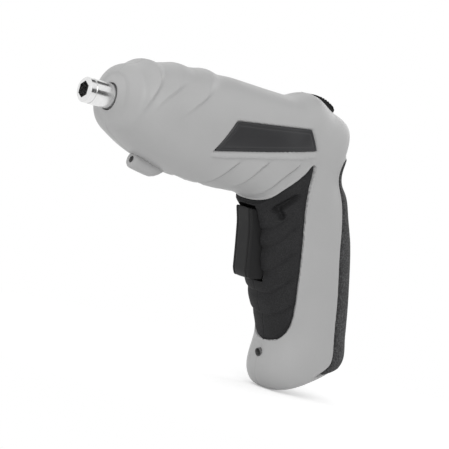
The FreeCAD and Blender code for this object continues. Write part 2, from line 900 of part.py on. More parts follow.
def make_cells():
    step = (float(size("cell_diameter")) + float(size("cell_gap"))) / 2
    for letter, (across, back) in zip("abcd", cell_places()):
        feature("cell_" + letter, cell_rod(across, back))
    thick = float(size("strap_thickness"))
    half = float(size("cell_diameter")) * 0.2
    top = (pack_top - thick, pack_top)
    bottom = (pack_bottom, pack_bottom + thick)
    reach = step + half
    straps = []
    for row in (-1, 1):
        middle = pack_middle + row * step
        straps.append(handle_box(bottom, (middle - half, middle + half), reach))
    across = handle_box(top, (pack_middle - reach, pack_middle + reach), half)
    across.translate(Vector(0, step, 0))
    straps.append(across)
    feature("cell_straps", Part.makeCompound(straps))


# Outer pieces


def barrel_label_region():
    """The slanted panel on the barrel's side, its corners rounded."""
    corners = [(-38.6, 25.7), (-31.5, 41.3), (10.5, 46.7), (16.3, 37.7)]
    panel = corner_prism([(PIVOT_X + across, PIVOT_Z + up) for across, up in corners])
    upright = [edge for edge in panel.Edges if abs(edge.Vertexes[0].Y - edge.Vertexes[-1].Y) > FAR]
    return panel.makeFillet(float(size("label_round")), upright)


def grip_region():
    """The soft pad on the handle's front, from under the barrel to above the foot."""
    arc = [(-2.0, 7.5), (0.3, 10.0), (4.1, 15.4), (10.3, 22.4), (17.0, 31.2)]
    rear = [(17.0, 31.2), (20.7, 11.0), (28.2, -25.3), (32.0, -43.8), (29.0, -51.0), (20.0, -54.0)]
    ahead = -15.0
    runs = [arc, rear, [rear[-1], (ahead, rear[-1][1])]]
    runs.append([(ahead, rear[-1][1]), (ahead, arc[0][1])])
    runs.append([(ahead, arc[0][1]), arc[0]])
    return prism([[(PIVOT_X + x, PIVOT_Z + z) for x, z in run] for run in runs])


def strap_region():
    """The strip down the handle's back, hooked under the rear of the foot."""
    back = handle_back
    edge = [
        (-30.0, back - 0.4),
        (-9.0, back - 8.4),
        (10.0, back - 10.0),
        (foot - 44.0, back - 10.6),
        (foot - 16.0, back - 12.4),
        (foot - 8.0, back - 16.0),
        (foot - 3.0, back - 18.5),
    ]
    low = foot + 12.0
    clear = back + 20.0
    runs = [edge, [edge[-1], (low, edge[-1][1])], [(low, edge[-1][1]), (low, clear)]]
    runs.append([(low, clear), (edge[0][0], clear)])
    runs.append([(edge[0][0], clear), edge[0]])
    return prism([[on_handle(down, across) for down, across in run] for run in runs])


def trigger_profile():
    """The trigger's side-view corners: a paddle ahead of the handle, its front bent for a finger."""
    corners = [
        (-1.6, 5.9),
        (1.6, -3.5),
        (6.0, -23.0),
        (7.8, -25.4),
        (14.2, -23.6),
    ]
    back_low = on_handle(25.0, TRIGGER_BACK)
    back_high = on_handle(-3.0, TRIGGER_BACK)
    outline = [(PIVOT_X + x, PIVOT_Z + z) for x, z in corners]
    outline += [back_low, back_high]
    return outline


def make_trigger():
    half = float(size("trigger_width")) / 2
    paddle = corner_prism(trigger_profile())
    keep = Part.makeBox(2 * FAR, 2 * half, 4 * FAR, Vector(PIVOT_X - FAR, -half, -3 * FAR))
    paddle = paddle.common(keep)
    front = [edge for edge in paddle.Edges if edge.BoundBox.XMax < PIVOT_X + 7.0]
    long_edges = [edge for edge in front if edge.BoundBox.YLength < half]
    paddle = paddle.makeFillet(float(size("trigger_round")), long_edges)
    pin_x, pin_z = TRIGGER_PIN
    hub_radius_here = float(size("pin_diameter")) / 2 + float(size("trigger_hub_wall"))
    hub = cross_rod(pin_x, pin_z, hub_radius_here, -half, half)
    neck = corner_prism([
        (pin_x - 2.6, pin_z + 1.5),
        (pin_x + 2.0, pin_z - 2.4),
        on_handle(6.0, TRIGGER_BACK),
        (PIVOT_X + 2.0, PIVOT_Z + 3.0),
    ]).common(keep)
    bore = cross_rod(pin_x, pin_z, float(size("pin_diameter")) / 2 + float(size("running_gap")), -FAR, FAR)
    feature("trigger", joined([paddle, neck, hub]).cut(bore).removeSplitter())
    pin_half = half + TRIGGER_PIN_SEAT
    feature("trigger_pin", cross_rod(pin_x, pin_z, float(size("pin_diameter")) / 2, -pin_half, pin_half))


def trigger_opening():
    """The slot in the handle's front that the trigger swings in."""
    half = float(size("trigger_width")) / 2 + float(size("trigger_gap"))
    low = on_handle(32.0, 12.5)
    corners = [
        (PIVOT_X - 12.0, PIVOT_Z + 7.2),
        (PIVOT_X + 4.0, PIVOT_Z + 7.2),
        (PIVOT_X + 7.4, PIVOT_Z + 11.2),
        (TRIGGER_PIN[0] + 4.0, TRIGGER_PIN[1] + 4.0),
        on_handle(0.0, 14.0),
        low,
        (PIVOT_X - 12.0, low[1] + 1.0),
    ]
    keep = Part.makeBox(2 * FAR, 2 * half, 4 * FAR, Vector(PIVOT_X - FAR, -half, -3 * FAR))
    return corner_prism(corners).common(keep)


def make_switches():
    half = float(size("switch_width")) / 2
    plunger_radius = float(size("plunger_diameter")) / 2
    gap = float(size("running_gap"))
    body = handle_box(SWITCH_DOWN, SWITCH_BACK, half)
    start = side_point(*on_handle(PLUNGER_DOWN, TRIGGER_BACK + float(size("plunger_gap"))))
    seat = side_point(*on_handle(PLUNGER_DOWN, SWITCH_BACK[0] + 2.4))
    floor = side_point(*on_handle(PLUNGER_DOWN, SWITCH_BACK[0] + 5.2))
    feature("switch_plunger", rod(start, seat, plunger_radius))
    feature("trigger_switch", body.cut(rod(start, floor, plunger_radius + gap)))


def make_trigger_spring():
    """The return spring between the trigger's back and a seat in the handle."""
    wire = float(size("spring_wire"))
    radius = (float(size("spring_diameter")) - wire) / 2
    start = TRIGGER_BACK + float(size("plunger_gap")) + wire / 2
    length = float(size("spring_length"))
    helix = Part.makeLongHelix(length / SPRING_TURNS, length, radius, 0)
    ring = Part.Wire(Part.makeCircle(wire / 2, Vector(radius, 0, 0), Vector(0, 1, 0)))
    coil = helix.makePipeShell([ring], True, True)
    place = Placement(Vector(start, 0, -SPRING_DOWN), Rotation(Vector(0, 1, 0), 90))
    coil.Placement = handle_placement().multiply(place)
    feature("trigger_spring", coil)
    return start + length + wire / 2


# The rocker's own frame: its middle on the hump, along the slope and square to it
ROCKER_ANGLE = -23.4
ROCKER_FAN_ANGLE = 67.7
ROCKER_PIN_DEPTH = float(size("rocker_pin_depth"))
ROCKER_SIDE = 2.0


def rocker_placement():
    reach = hump_radius - 2.4
    turn = math.radians(ROCKER_FAN_ANGLE)
    middle = side_point(PIVOT_X + reach * math.cos(turn), PIVOT_Z + reach * math.sin(turn))
    return Placement(middle, Rotation(Vector(0, 1, 0), -ROCKER_ANGLE))


def rocker_block(length, half_width, low, high):
    """A block square to the rocker and centred under it."""
    block = Part.makeBox(length, 2 * half_width, high - low, Vector(-length / 2, -half_width, low))
    block.Placement = rocker_placement().multiply(block.Placement)
    return block


def rocker_rod(radius, start, end):
    """A rod along the rocker's pin."""
    piece = Part.makeCylinder(radius, end - start, Vector(0, start, -ROCKER_PIN_DEPTH), Vector(0, 1, 0))
    piece.Placement = rocker_placement().multiply(piece.Placement)
    return piece


def thumb_switch(inset, half_width):
    """The block of the direction switch under the rocker, drawn in by an inset."""
    high = -float(size("rocker_depth")) - float(size("thumb_switch_gap"))
    low = high - float(size("thumb_switch_height"))
    length = float(size("thumb_switch_length"))
    return rocker_block(length - 2 * inset, half_width, low + inset, high - inset)


def make_rocker():
    """The thumb rocker, resting with its rear end raised."""
    half_length = float(size("rocker_length")) / 2
    half_width = float(size("rocker_width")) / 2
    tilt = float(size("rocker_tilt"))
    rim = float(size("rocker_rim"))
    depth = float(size("rocker_depth"))
    foot_half = float(size("rocker_foot")) / 2
    middle = Vector(0, 0, rim + float(size("rocker_camber")))
    crown = Part.Arc(Vector(-half_length, 0, rim), middle, Vector(half_length, 0, rim)).toShape()
    corners = [
        Vector(half_length, 0, rim),
        Vector(half_length, 0, ROCKER_SIDE - depth),
        Vector(foot_half, 0, -depth),
        Vector(-foot_half, 0, -depth),
        Vector(-half_length, 0, ROCKER_SIDE - depth),
        Vector(-half_length, 0, rim),
    ]
    lines = [Part.makeLine(start, end) for start, end in zip(corners, corners[1:])]
    face = Part.Face(Part.Wire([crown] + lines))
    face.translate(Vector(0, -half_width, 0))
    cap = face.extrude(Vector(0, 2 * half_width, 0))
    cap.rotate(Vector(0, 0, -ROCKER_PIN_DEPTH), Vector(0, 1, 0), -tilt)
    cap.Placement = rocker_placement().multiply(cap.Placement)
    radius = float(size("pin_diameter")) / 2
    feature("direction_rocker", cap.cut(rocker_rod(radius + float(size("running_gap")), -FAR, FAR)))
    pin_half = half_width + float(size("rocker_pin_seat"))
    feature("rocker_pin", rocker_rod(radius, -pin_half, pin_half))
    feature("direction_switch", thumb_switch(0.0, float(size("switch_width")) / 2))


def rocker_opening():
    gap = float(size("rocker_gap"))
    length = float(size("rocker_length")) + 2 * gap
    half_width = float(size("rocker_width")) / 2 + gap
    return rocker_block(length, half_width, -float(size("rocker_depth")) - 1.0, 8.0)


def led_line():
    """The work light's axis, which looks forward and a little up at the bit."""
    tilt = math.radians(float(size("led_tilt")))
    front = Vector(float(nose_x + size("led_setback")), 0, float(size("led_rise")) - barrel_drop)
    back = Vector(math.cos(tilt), 0, -math.sin(tilt))
    return front, back


LED_TAIL = Vector(9.0, 0, 4.0)
LED_TAIL_RADIUS = 1.6
LED_LEADS = Vector(2.0, 0, 7.0)


def led_boss():
    """The bulge under the nose that holds the work light."""
    front, back = led_line()
    radius = float(size("led_diameter") / 2 + size("led_boss_wall"))
    end = front + back * float(size("led_boss_length"))
    cone = Part.makeCone(radius, LED_TAIL_RADIUS, LED_TAIL.Length, end, LED_TAIL)
    return joined([rod(front, end, radius), Part.makeSphere(radius, end), cone])


def led_shape(gap):
    """The domed lens and its flange, grown by a gap."""
    front, back = led_line()
    radius = float(size("led_diameter")) / 2
    flange = float(size("led_flange"))
    dome = front + back * (radius + flange)
    end = dome + back * (float(size("led_length")) + gap)
    collar = end - back * (2 * flange + 2 * gap)
    lens = joined([Part.makeSphere(radius + gap, dome), rod(dome, end, radius + gap)])
    return lens.fuse(rod(collar, end, radius + flange + gap)).removeSplitter()


def make_led():
    feature("led", led_shape(0.0))


def led_bore():
    """The light's seat, open to the front, with a hole for its leads into the barrel."""
    front, back = led_line()
    gap = float(size("seat_gap"))
    radius = float(size("led_diameter")) / 2
    seat = led_shape(gap)
    mouth = rod(front - back * 2.0, front + back * (2 * radius), radius + gap)
    end = front + back * (radius + float(size("led_length")))
    leads = rod(end, end + LED_LEADS, float(size("led_lead_hole")) / 2)
    return joined([seat, mouth, leads])


def make_charging():
    radius = float(size("jack_diameter")) / 2
    bore = float(size("jack_bore")) / 2
    start = side_point(*on_handle(JACK_DOWN, JACK_FRONT))
    end = side_point(*on_handle(JACK_DOWN, JACK_FRONT + float(size("jack_length"))))
    back = (end - start).normalize()
    shell = rod(start, end, radius).cut(rod(start, end - back, bore))
    contact_radius = float(size("jack_contact")) / 2
    contact = rod(start + back * contact_radius, end, contact_radius)
    board_half = float(size("board_width")) / 2
    feature("charge_jack", shell.fuse(contact).removeSplitter())
    board_top = JACK_DOWN + float(size("board_drop"))
    board_end = float(size("board_setback") + size("board_length"))
    span = (float(size("board_setback")), board_end)
    board = handle_box((board_top, board_top + float(size("board_thickness"))), span, board_half)
    feature("charge_board", board)


# Screws that join the halves, from the right
def screw_places():
    under_motor = -(float(motor_radius) + float(size("screw_head")) / 2 + float(size("boss_wall")) + 0.6)
    behind_motor = float(end_cap_rear) + 9.0
    return [
        (float(motor_front) + 16.0, under_motor),
        (float(motor_rear) + 2.0, under_motor),
        (behind_motor, barrel_rise - 8.2),
        (PIVOT_X + 36.0, PIVOT_Z + 42.0),
        (PIVOT_X + 13.5, PIVOT_Z + 21.8),
        on_handle(foot - 11.5, 17.5),
        on_handle(foot - 11.5, 35.5),
    ]


def make_screws():
    seat = float(size("screw_seat"))
    shank = float(size("screw_diameter")) / 2
    head = float(size("screw_head")) / 2
    height = float(size("screw_head_height"))
    recess = float(size("screw_recess"))
    slot = float(size("screw_slot"))
    tip = seat - float(size("screw_length"))
    screws = []
    for x, z in screw_places():
        body = cross_rod(x, z, shank, tip, seat + height / 2).fuse(cross_rod(x, z, head, seat, seat + height))
        body = body.removeSplitter()
        for wide, tall in ((recess, slot), (slot, recess)):
            corner = Vector(x - wide / 2, seat + height / 2, z - tall / 2)
            body = body.cut(Part.makeBox(wide, height, tall, corner))
        screws.append(body)
    feature("housing_screws", Part.makeCompound(screws))


# Housing


def cradles(spring_seat):
    """Ribs and posts inside the housing, each cut to what it carries."""
    rib = float(size("rib_thickness"))
    gap = float(size("seat_gap"))
    shapes = []
    hub = axis_rod(0, FAR, float(hub_radius) + gap)
    hub_rib = float(bush_front) + 2.0
    shapes.append(slab(hub_rib, hub_rib + rib).cut(hub))
    case = axis_rod(0, 2 * FAR, float(case_radius) + gap)
    for x in (float(case_inside) + 1.0, float(case_rear) - 1.0 - rib):
        shapes.append(slab(x, x + rib).cut(case))
    can = axis_rod(0, 3 * FAR, float(motor_radius) + gap)
    for x in (float(motor_front) + 6.0, float(motor_rear) - 5.0):
        shapes.append(slab(x, x + rib).cut(can))
    cells = [cell_rod(across, back, gap) for across, back in cell_places()]
    between = handle_box((0.0, FAR + 10.0), (pack_middle - 7.0, pack_middle + 7.0), 7.0)
    for down in (pack_top + 10.0, (pack_top + pack_bottom) / 2, pack_bottom - 6.0):
        plate = handle_box((down, down + rib), (16.0, 80.0), FAR)
        shapes.append(plate.cut(joined(cells + [between])))
    seat_span = (SPRING_DOWN - 4.0, SPRING_DOWN + 4.0)
    seat_rib = handle_box(seat_span, (spring_seat, spring_seat + rib), FAR)
    shapes.append(seat_rib)
    switch_half = float(size("switch_width")) / 2 + gap
    post_down = (SWITCH_DOWN[0] + 2.0, SWITCH_DOWN[1] - 2.0)
    post_back = (SWITCH_BACK[0] + 1.0, SWITCH_BACK[1] - 1.0)
    post = handle_box(post_down, post_back, FAR)
    shapes.append(post.cut(handle_box(SWITCH_DOWN, SWITCH_BACK, switch_half)))
    shapes.append(thumb_switch(1.0, FAR).cut(thumb_switch(0.0, switch_half)))
    jack_radius = float(size("jack_diameter")) / 2 + gap
    jack_post = handle_box((JACK_DOWN - 2.0, JACK_DOWN + 2.0), (JACK_FRONT + 1.0, JACK_FRONT + 5.0), FAR)
    jack_start = side_point(*on_handle(JACK_DOWN, 0.0))
    jack_end = side_point(*on_handle(JACK_DOWN, FAR))
    shapes.append(jack_post.cut(rod(jack_start, jack_end, jack_radius)))
    board_bottom = JACK_DOWN + float(size("board_drop") + size("board_thickness")) + gap
    board_start = float(size("board_setback"))
    board_end = board_start + float(size("board_length"))
    for back in (board_start + rib, board_end - 2 * rib):
        shapes.append(handle_box((board_bottom, FAR + 40.0), (back, back + rib), FAR))
    return shapes


def pin_bosses():
    """Bosses on the side walls that carry the trigger's and the rocker's pins."""
    boss = float(size("pin_diameter")) / 2 + float(size("pin_boss_wall"))
    low = float(size("trigger_width")) / 2 + float(size("trigger_gap"))
    pin_x, pin_z = TRIGGER_PIN
    shapes = [cross_rod(pin_x, pin_z, boss, -FAR, -low), cross_rod(pin_x, pin_z, boss, low, FAR)]
    low = float(size("rocker_width")) / 2 + float(size("rocker_gap"))
    shapes += [rocker_rod(boss, -FAR, -low), rocker_rod(boss, low, FAR)]
    return shapes


def pin_bores():
    gap = float(size("seat_gap"))
    bore = float(size("pin_diameter")) / 2 + gap
    half = float(size("trigger_width")) / 2 + TRIGGER_PIN_SEAT + gap
    shapes = [cross_rod(TRIGGER_PIN[0], TRIGGER_PIN[1], bore, -half, half)]
    half = float(size("rocker_width")) / 2 + float(size("rocker_pin_seat")) + gap
    shapes.append(rocker_rod(bore, -half, half))
    return shapes


def make_housing(side, name, skins, supports):
    """One half of the grey shell: walls, ribs, bosses, and the openings cut through it."""
    half = half_space(side)
    wall = float(size("wall"))
    gap = float(size("seat_gap"))
    seat = float(size("screw_seat"))
    shank = float(size("screw_diameter")) / 2 + gap
    head = float(size("screw_head")) / 2 + float(size("screw_head_room"))
    boss_radius = head + float(size("boss_wall"))
    bosses = [cross_rod(x, z, boss_radius, -FAR, FAR) for x, z in screw_places()]
    hollow = body_solid(wall).common(half)
    for support in supports + bosses + pin_bosses():
        hollow = hollow.cut(support)
    shell = body_solid(0.0).common(half).fuse(led_boss().common(half).cut(body_solid(wall)))
    shell = shell.cut(hollow)
    cutters = [led_bore(), trigger_opening(), rocker_opening()] + pin_bores()
    cutters.append(axis_rod(-FAR, float(nose_x) + wall + 2.0, float(collar_radius) + 0.5))
    jack_start = side_point(*on_handle(JACK_DOWN, 0.0))
    jack_end = side_point(*on_handle(JACK_DOWN, 20.0))
    cutters.append(rod(jack_start, jack_end, float(size("jack_bore") + size("jack_room")) / 2))
    tip = seat - float(size("screw_length")) - 0.6
    for x, z in screw_places():
        cutters.append(cross_rod(x, z, shank, tip, seat))
        if side > 0:
            cutters.append(cross_rod(x, z, head, seat - gap, FAR))
    for cutter in cutters + skins:
        shell = shell.cut(cutter)
    feature(name, shell)


def make_shell_pieces():
    """The pads, strap and panels let into the halves, then the halves themselves."""
    spring_seat = make_trigger_spring()
    opening = trigger_opening()
    depth = float(size("skin_depth"))
    jack_line = [side_point(*on_handle(JACK_DOWN, back)) for back in (0.0, 20.0)]
    strap_halves = []
    supports = cradles(spring_seat + float(size("axial_gap")))
    for side, word in ((-1, "left"), (1, "right")):
        grip = skin(grip_region(), depth, side).cut(opening)
        grip = grip.cut(rod(jack_line[0], jack_line[1], float(size("jack_bore") + size("jack_room")) / 2))
        label = skin(barrel_label_region(), float(size("label_depth")), side)
        strap = skin(strap_region(), depth, side)
        strap_halves.append(strap)
        feature("grip_" + word, grip)
        feature("label_plate_" + word, label)
        make_housing(side, "housing_" + word, [grip, label, strap], supports)
    feature("back_strap", strap_halves[0].fuse(strap_halves[1]).removeSplitter())


def build():
    make_spindle()
    make_spindle_fittings()
    make_gear_case()
    make_planets("one", stage_one_front, carrier_front)
    make_planets("two", stage_two_front, spindle_plate_front)
    make_carrier()
    make_rotor(*make_motor())
    make_motor_ends()
    make_cells()
    make_trigger()
    make_switches()
    make_rocker()
    make_led()
    make_charging()
    make_screws()
    make_shell_pieces()
    doc.recompute()


NODES = [
    "housing_left", "housing_right", "grip_left", "grip_right", "back_strap",
    "label_plate_left", "label_plate_right", "trigger", "trigger_pin", "trigger_spring",
    "direction_rocker", "rocker_pin", "direction_switch", "trigger_switch", "switch_plunger",
    "led", "spindle", "socket_magnet", "thrust_washer", "spindle_bush", "gear_case", "ring_gear",
    "carrier_one", "planet_one_a", "planet_one_b", "planet_one_c", "planet_pins_one",
    "planet_two_a", "planet_two_b", "planet_two_c", "planet_pins_two", "motor_pinion",
    "rotor_shaft", "armature", "commutator", "motor_can", "motor_magnets", "motor_brushes",
    "motor_end_cap", "shaft_bushes", "motor_plate", "motor_screws",
    "cell_a", "cell_b", "cell_c", "cell_d", "cell_straps", "charge_jack", "charge_board",
    "housing_screws",
]


def check_and_write():
    """Stops on any failed object or bad shape, then writes one file for each sub-part."""
    for item in doc.Objects:
        if "Invalid" in item.State or "Error" in item.State:
            raise RuntimeError("%s failed: %s" % (item.Label, item.State))
    pieces = [doc.getObjectsByLabel(name)[0] for name in NODES]
    for piece in pieces:
        if piece.Shape.isNull() or not piece.Shape.isValid() or not piece.Shape.Solids:
            raise RuntimeError(piece.Label + " has no valid solid")
    os.makedirs("parts", exist_ok=True)
    for piece in pieces:
        piece.Shape.exportStep("parts/%s.step" % piece.Label)
        solids = piece.Shape.Solids
        print("%-18s %2d solids %10.1f mm3" % (piece.Label, len(solids), piece.Shape.Volume))


build()
check_and_write()
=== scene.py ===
"""Looks for the electric screwdriver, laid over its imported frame.

The body's skin is one surface of two parameters: along, in millimetres down the middle of the body from the
nose to the foot, and turn, an angle round each section from the back (0) to the front (pi, on either side).
Shell halves, grip pads, back strap and panels are patches of that skin, lifted or sunk along its normal.
Shape functions work in millimetres, and the meshes they end in are in metres.
"""

import json
import math

import bpy
import numpy as np
from mathutils import Matrix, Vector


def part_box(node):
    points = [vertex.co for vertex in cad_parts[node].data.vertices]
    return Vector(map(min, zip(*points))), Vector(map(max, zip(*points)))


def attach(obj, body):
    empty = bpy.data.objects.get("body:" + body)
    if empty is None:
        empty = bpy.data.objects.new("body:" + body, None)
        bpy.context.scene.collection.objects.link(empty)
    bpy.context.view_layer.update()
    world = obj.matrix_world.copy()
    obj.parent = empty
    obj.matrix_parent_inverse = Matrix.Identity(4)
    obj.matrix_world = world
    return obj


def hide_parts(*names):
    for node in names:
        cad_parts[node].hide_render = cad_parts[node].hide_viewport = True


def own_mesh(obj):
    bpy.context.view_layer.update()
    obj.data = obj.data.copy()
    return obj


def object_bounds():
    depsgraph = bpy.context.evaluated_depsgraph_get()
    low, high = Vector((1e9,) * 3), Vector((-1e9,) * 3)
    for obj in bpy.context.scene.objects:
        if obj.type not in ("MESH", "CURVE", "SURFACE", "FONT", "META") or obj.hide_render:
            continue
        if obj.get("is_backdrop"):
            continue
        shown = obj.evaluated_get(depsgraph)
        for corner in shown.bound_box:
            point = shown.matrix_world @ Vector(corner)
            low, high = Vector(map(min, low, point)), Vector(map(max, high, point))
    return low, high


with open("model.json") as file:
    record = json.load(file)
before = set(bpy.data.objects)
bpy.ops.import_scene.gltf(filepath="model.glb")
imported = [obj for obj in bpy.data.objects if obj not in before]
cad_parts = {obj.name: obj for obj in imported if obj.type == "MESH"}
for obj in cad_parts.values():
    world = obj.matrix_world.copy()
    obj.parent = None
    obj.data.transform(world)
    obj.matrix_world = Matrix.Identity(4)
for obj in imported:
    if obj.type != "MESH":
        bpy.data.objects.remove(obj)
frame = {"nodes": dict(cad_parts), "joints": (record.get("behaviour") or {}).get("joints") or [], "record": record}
CAD_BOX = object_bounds()

bl_info = {
    "name": "Electric screwdriver looks",
    "version": (1, 0, 0),
    "blender": (4, 5, 0),
    "location": "View3D > Sidebar > Screwdriver",
    "description": "Builds the shells, pads, controls and finishes of an electric screwdriver",
    "category": "Object",
}

MM = 0.001


# Places taken from the frame
def box_mm(node):
    """Lowest and highest corner of a CAD node, in millimetres."""
    low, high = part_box(node)
    return np.array(low) / MM, np.array(high) / MM


def joint_place(name):
    """A joint's place in the side view, as (x, z) in millimetres."""
    place = next(joint["pos_m"] for joint in frame["joints"] if joint["name"] == name)
    return np.array([place[0], place[2]]) / MM


TRIGGER_PIN = joint_place("trigger_pull")
ROCKER_PIN = joint_place("direction_rock")
# The barrel and the handle turn into each other about this point
PIVOT = TRIGGER_PIN - (10.5, 8.7)
NOSE_X = box_mm("housing_left")[0][0]
BARREL_HALF = -box_mm("housing_left")[0][1]
BARREL_RISE = BARREL_HALF + 0.6
BARREL_DROP = BARREL_HALF + 4.4
PACK_HALF = max(box_mm(cell)[1][1] for cell in ("cell_a", "cell_b", "cell_c", "cell_d"))
HANDLE_HALF = PACK_HALF + 4.3
HANDLE_FRONT = 7.0
HANDLE_BACK = 2 * PACK_HALF + 27.8
HANDLE_FOOT = 84.0
HUMP = BARREL_RISE - PIVOT[1] + 8.4
RAKE = math.radians(17.0)
NOSE_RADIUS = 11.2
NOSE_LENGTH = 40.0
NOSE_DOME = 2.2
COLLAR_HOLE = 6.0
WALL = 2.2


def on_handle(down, back):
    """Side-view point so far down the raked handle and so far behind its front line."""
    down_way = np.array([math.sin(RAKE), -math.cos(RAKE)])
    back_way = np.array([math.cos(RAKE), math.sin(RAKE)])
    return PIVOT + down * down_way + back * back_way


# The skin's sections: place of the base (x, z), angle, near and far reach from it, half width, roundness
NOSE_ROUND, BARREL_ROUND, TURN_ROUND, HANDLE_ROUND = 2.16, 2.25, 2.35, 2.5
NOSE_STEPS = (0.0, 0.05, 0.13, 0.28, 0.55, 1.0)
# Full radius upward, downward and sideways, each with the power of its curve
NOSE_CURVES = ((BARREL_RISE, 1.82), (BARREL_DROP - 0.5, 1.48), (BARREL_HALF, 3.2))
BARREL_END = PIVOT[0] - 21.0


def nose_sections():
    """Barrel rings: each radius grows as r0 + (r - r0)(1 - (1 - s)^p)^(1/p) over the nose's length s."""
    sections = []
    for step in NOSE_STEPS:
        rise, drop, half = (
            NOSE_RADIUS + (full - NOSE_RADIUS) * (1 - (1 - step) ** power) ** (1 / power)
            for full, power in NOSE_CURVES
        )
        x = NOSE_X + NOSE_LENGTH * step
        sections.append((x, PIVOT[1], math.pi / 2, -drop - PIVOT[1], rise - PIVOT[1], half, NOSE_ROUND))
    low, high = -BARREL_DROP - 0.2 - PIVOT[1], BARREL_RISE - PIVOT[1]
    sections.append((BARREL_END, PIVOT[1], math.pi / 2, low, high, BARREL_HALF, BARREL_ROUND))
    return sections


def turn_sections():
    """Rings that fan out from the pivot between the barrel and the handle."""
    top = BARREL_RISE - PIVOT[1]
    fan = (
        (90.0, 2.2, top - 0.4, BARREL_HALF - 0.5),
        (81.0, 0.6, top + 1.5, BARREL_HALF - 1.2),
        (75.5, 0.1, HUMP - 3.0, BARREL_HALF - 1.7),
        (69.0, -0.2, HUMP - 2.4, BARREL_HALF - 2.3),
        (62.0, -0.5, HUMP - 2.3, HANDLE_HALF + 0.1),
        (53.0, -0.9, HUMP - 0.3, HANDLE_HALF - 0.6),
        (44.0, -1.3, HANDLE_BACK + 3.0, HANDLE_HALF - 1.2),
        (34.0, -1.5, HANDLE_BACK - 3.8, HANDLE_HALF - 1.2),
        (25.0, -1.4, HANDLE_BACK - 2.1, HANDLE_HALF - 0.8),
    )
    return [
        (PIVOT[0], PIVOT[1], math.radians(angle), HANDLE_FRONT + near, far, half, TURN_ROUND)
        for angle, near, far, half in fan
    ]


def handle_sections():
    """Rings square to the raked handle, tipped a little more towards the foot."""
    steps = (
        (0.0, 0.0, -1.0, -1.8, -0.4),
        (14.7, 0.0, -0.6, 0.0, 0.1),
        (HANDLE_FOOT - 53.0, 0.0, 0.5, 0.2, 0.0),
        (HANDLE_FOOT - 40.0, 0.0, 4.0, -0.2, -0.5),
        (HANDLE_FOOT - 31.0, 0.0, 6.4, -0.8, -0.9),
        (HANDLE_FOOT - 22.5, 0.0, 4.6, -1.6, -0.7),
        (HANDLE_FOOT - 14.0, 2.0, 2.2, -2.8, -0.6),
        (HANDLE_FOOT - 6.6, 7.0, 3.1, -4.8, -1.2),
        (HANDLE_FOOT - 0.9, 12.2, 7.2, -9.4, -3.6),
        (HANDLE_FOOT + 1.4, 14.5, 13.4, -18.0, -8.4),
    )
    sections = []
    for down, tip, near, far, half in steps:
        angle = RAKE + math.radians(tip)
        reach = HANDLE_FRONT + near, HANDLE_BACK + far
        sections.append((*on_handle(down, 0.0), angle, *reach, HANDLE_HALF + half, HANDLE_ROUND))
    return sections


SECTIONS = np.array(nose_sections() + turn_sections() + handle_sections())
BASE_X, BASE_Z, ANGLE, NEAR, FAR, HALF, ROUND = SECTIONS.T


def rings(turn):
    """Points of every section at each turn t: along = p(cos t), across = p(sin t), p(v) = sign(v)|v|^(2/n)."""
    turn = np.asarray(turn, float)[..., None]
    along, across = (np.sign(wave) * np.abs(wave) ** (2 / ROUND) for wave in (np.cos(turn), np.sin(turn)))
    reach = (FAR + NEAR) / 2 + (FAR - NEAR) / 2 * along
    return np.stack([BASE_X + np.cos(ANGLE) * reach, HALF * across, BASE_Z + np.sin(ANGLE) * reach], -1)


def steps_along(points):
    """Distance of each point from the first, along the straight runs between them."""
    return np.concatenate([[0.0], np.cumsum(np.linalg.norm(np.diff(points, axis=0), axis=1))])


def end_slope(knots, place):
    """Weights that turn the values at a few knots into their polynomial's slope at a place."""
    table = (knots - place)[:, None] ** np.arange(len(knots))
    return np.linalg.solve(table.T, np.eye(len(knots))[1])


def spline_bends(knots):
    """Matrix from values at the knots to the cubic spline's second derivatives there, slopes free at the ends."""
    count, gaps = len(knots), np.diff(knots)
    ends = min(4, count)
    left, right = np.zeros((count, count)), np.zeros((count, count))
    for i in range(1, count - 1):
        left[i, i - 1 : i + 2] = gaps[i - 1], 2 * (gaps[i - 1] + gaps[i]), gaps[i]
        right[i, i - 1 : i + 2] = 6 / gaps[i - 1], -6 / gaps[i - 1] - 6 / gaps[i], 6 / gaps[i]
    left[0, :2] = 2 * gaps[0], gaps[0]
    right[0, :2] = -6 / gaps[0], 6 / gaps[0]
    right[0, :ends] -= 6 * end_slope(knots[:ends], knots[0])
    left[-1, -2:] = gaps[-1], 2 * gaps[-1]
    right[-1, -2:] = 6 / gaps[-1], -6 / gaps[-1]
    right[-1, -ends:] += 6 * end_slope(knots[-ends:], knots[-1])
    return np.linalg.solve(left, right)


def spline_weights(knots, bends, places):
    """Weights of the knot values at each place: a E_i + b E_i+1 + ((a^3 - a) M_i + (b^3 - b) M_i+1) h^2 / 6."""
    i = np.clip(np.searchsorted(knots, places) - 1, 0, len(knots) - 2)
    gap = (knots[i + 1] - knots[i])[..., None]
    a = (knots[i + 1] - places)[..., None] / gap
    b = 1 - a
    unit = np.eye(len(knots))
    bent = (a**3 - a) * bends[i] + (b**3 - b) * bends[i + 1]
    return a * unit[i] + b * unit[i + 1] + bent * gap**2 / 6


KNOTS = steps_along(rings(np.array([0.0, math.pi])).mean(0))
BENDS = spline_bends(KNOTS)
FRONT_LINE = rings(np.array(math.pi))[:, [0, 2]]
BACK_LINE = rings(np.array(0.0))[:, [0, 2]]


def skin(along, turn):
    """Points of the skin: each section's ring at the turn, joined along the body by the spline's weights."""
    return np.einsum("...k,...kc->...c", spline_weights(KNOTS, BENDS, along), rings(turn))


def skin_grid(along, turn):
    """The skin at every pair of a list of alongs and a list of turns."""
    return np.einsum("ik,jkc->ijc", spline_weights(KNOTS, BENDS, along), rings(turn))


HALVINGS = 32


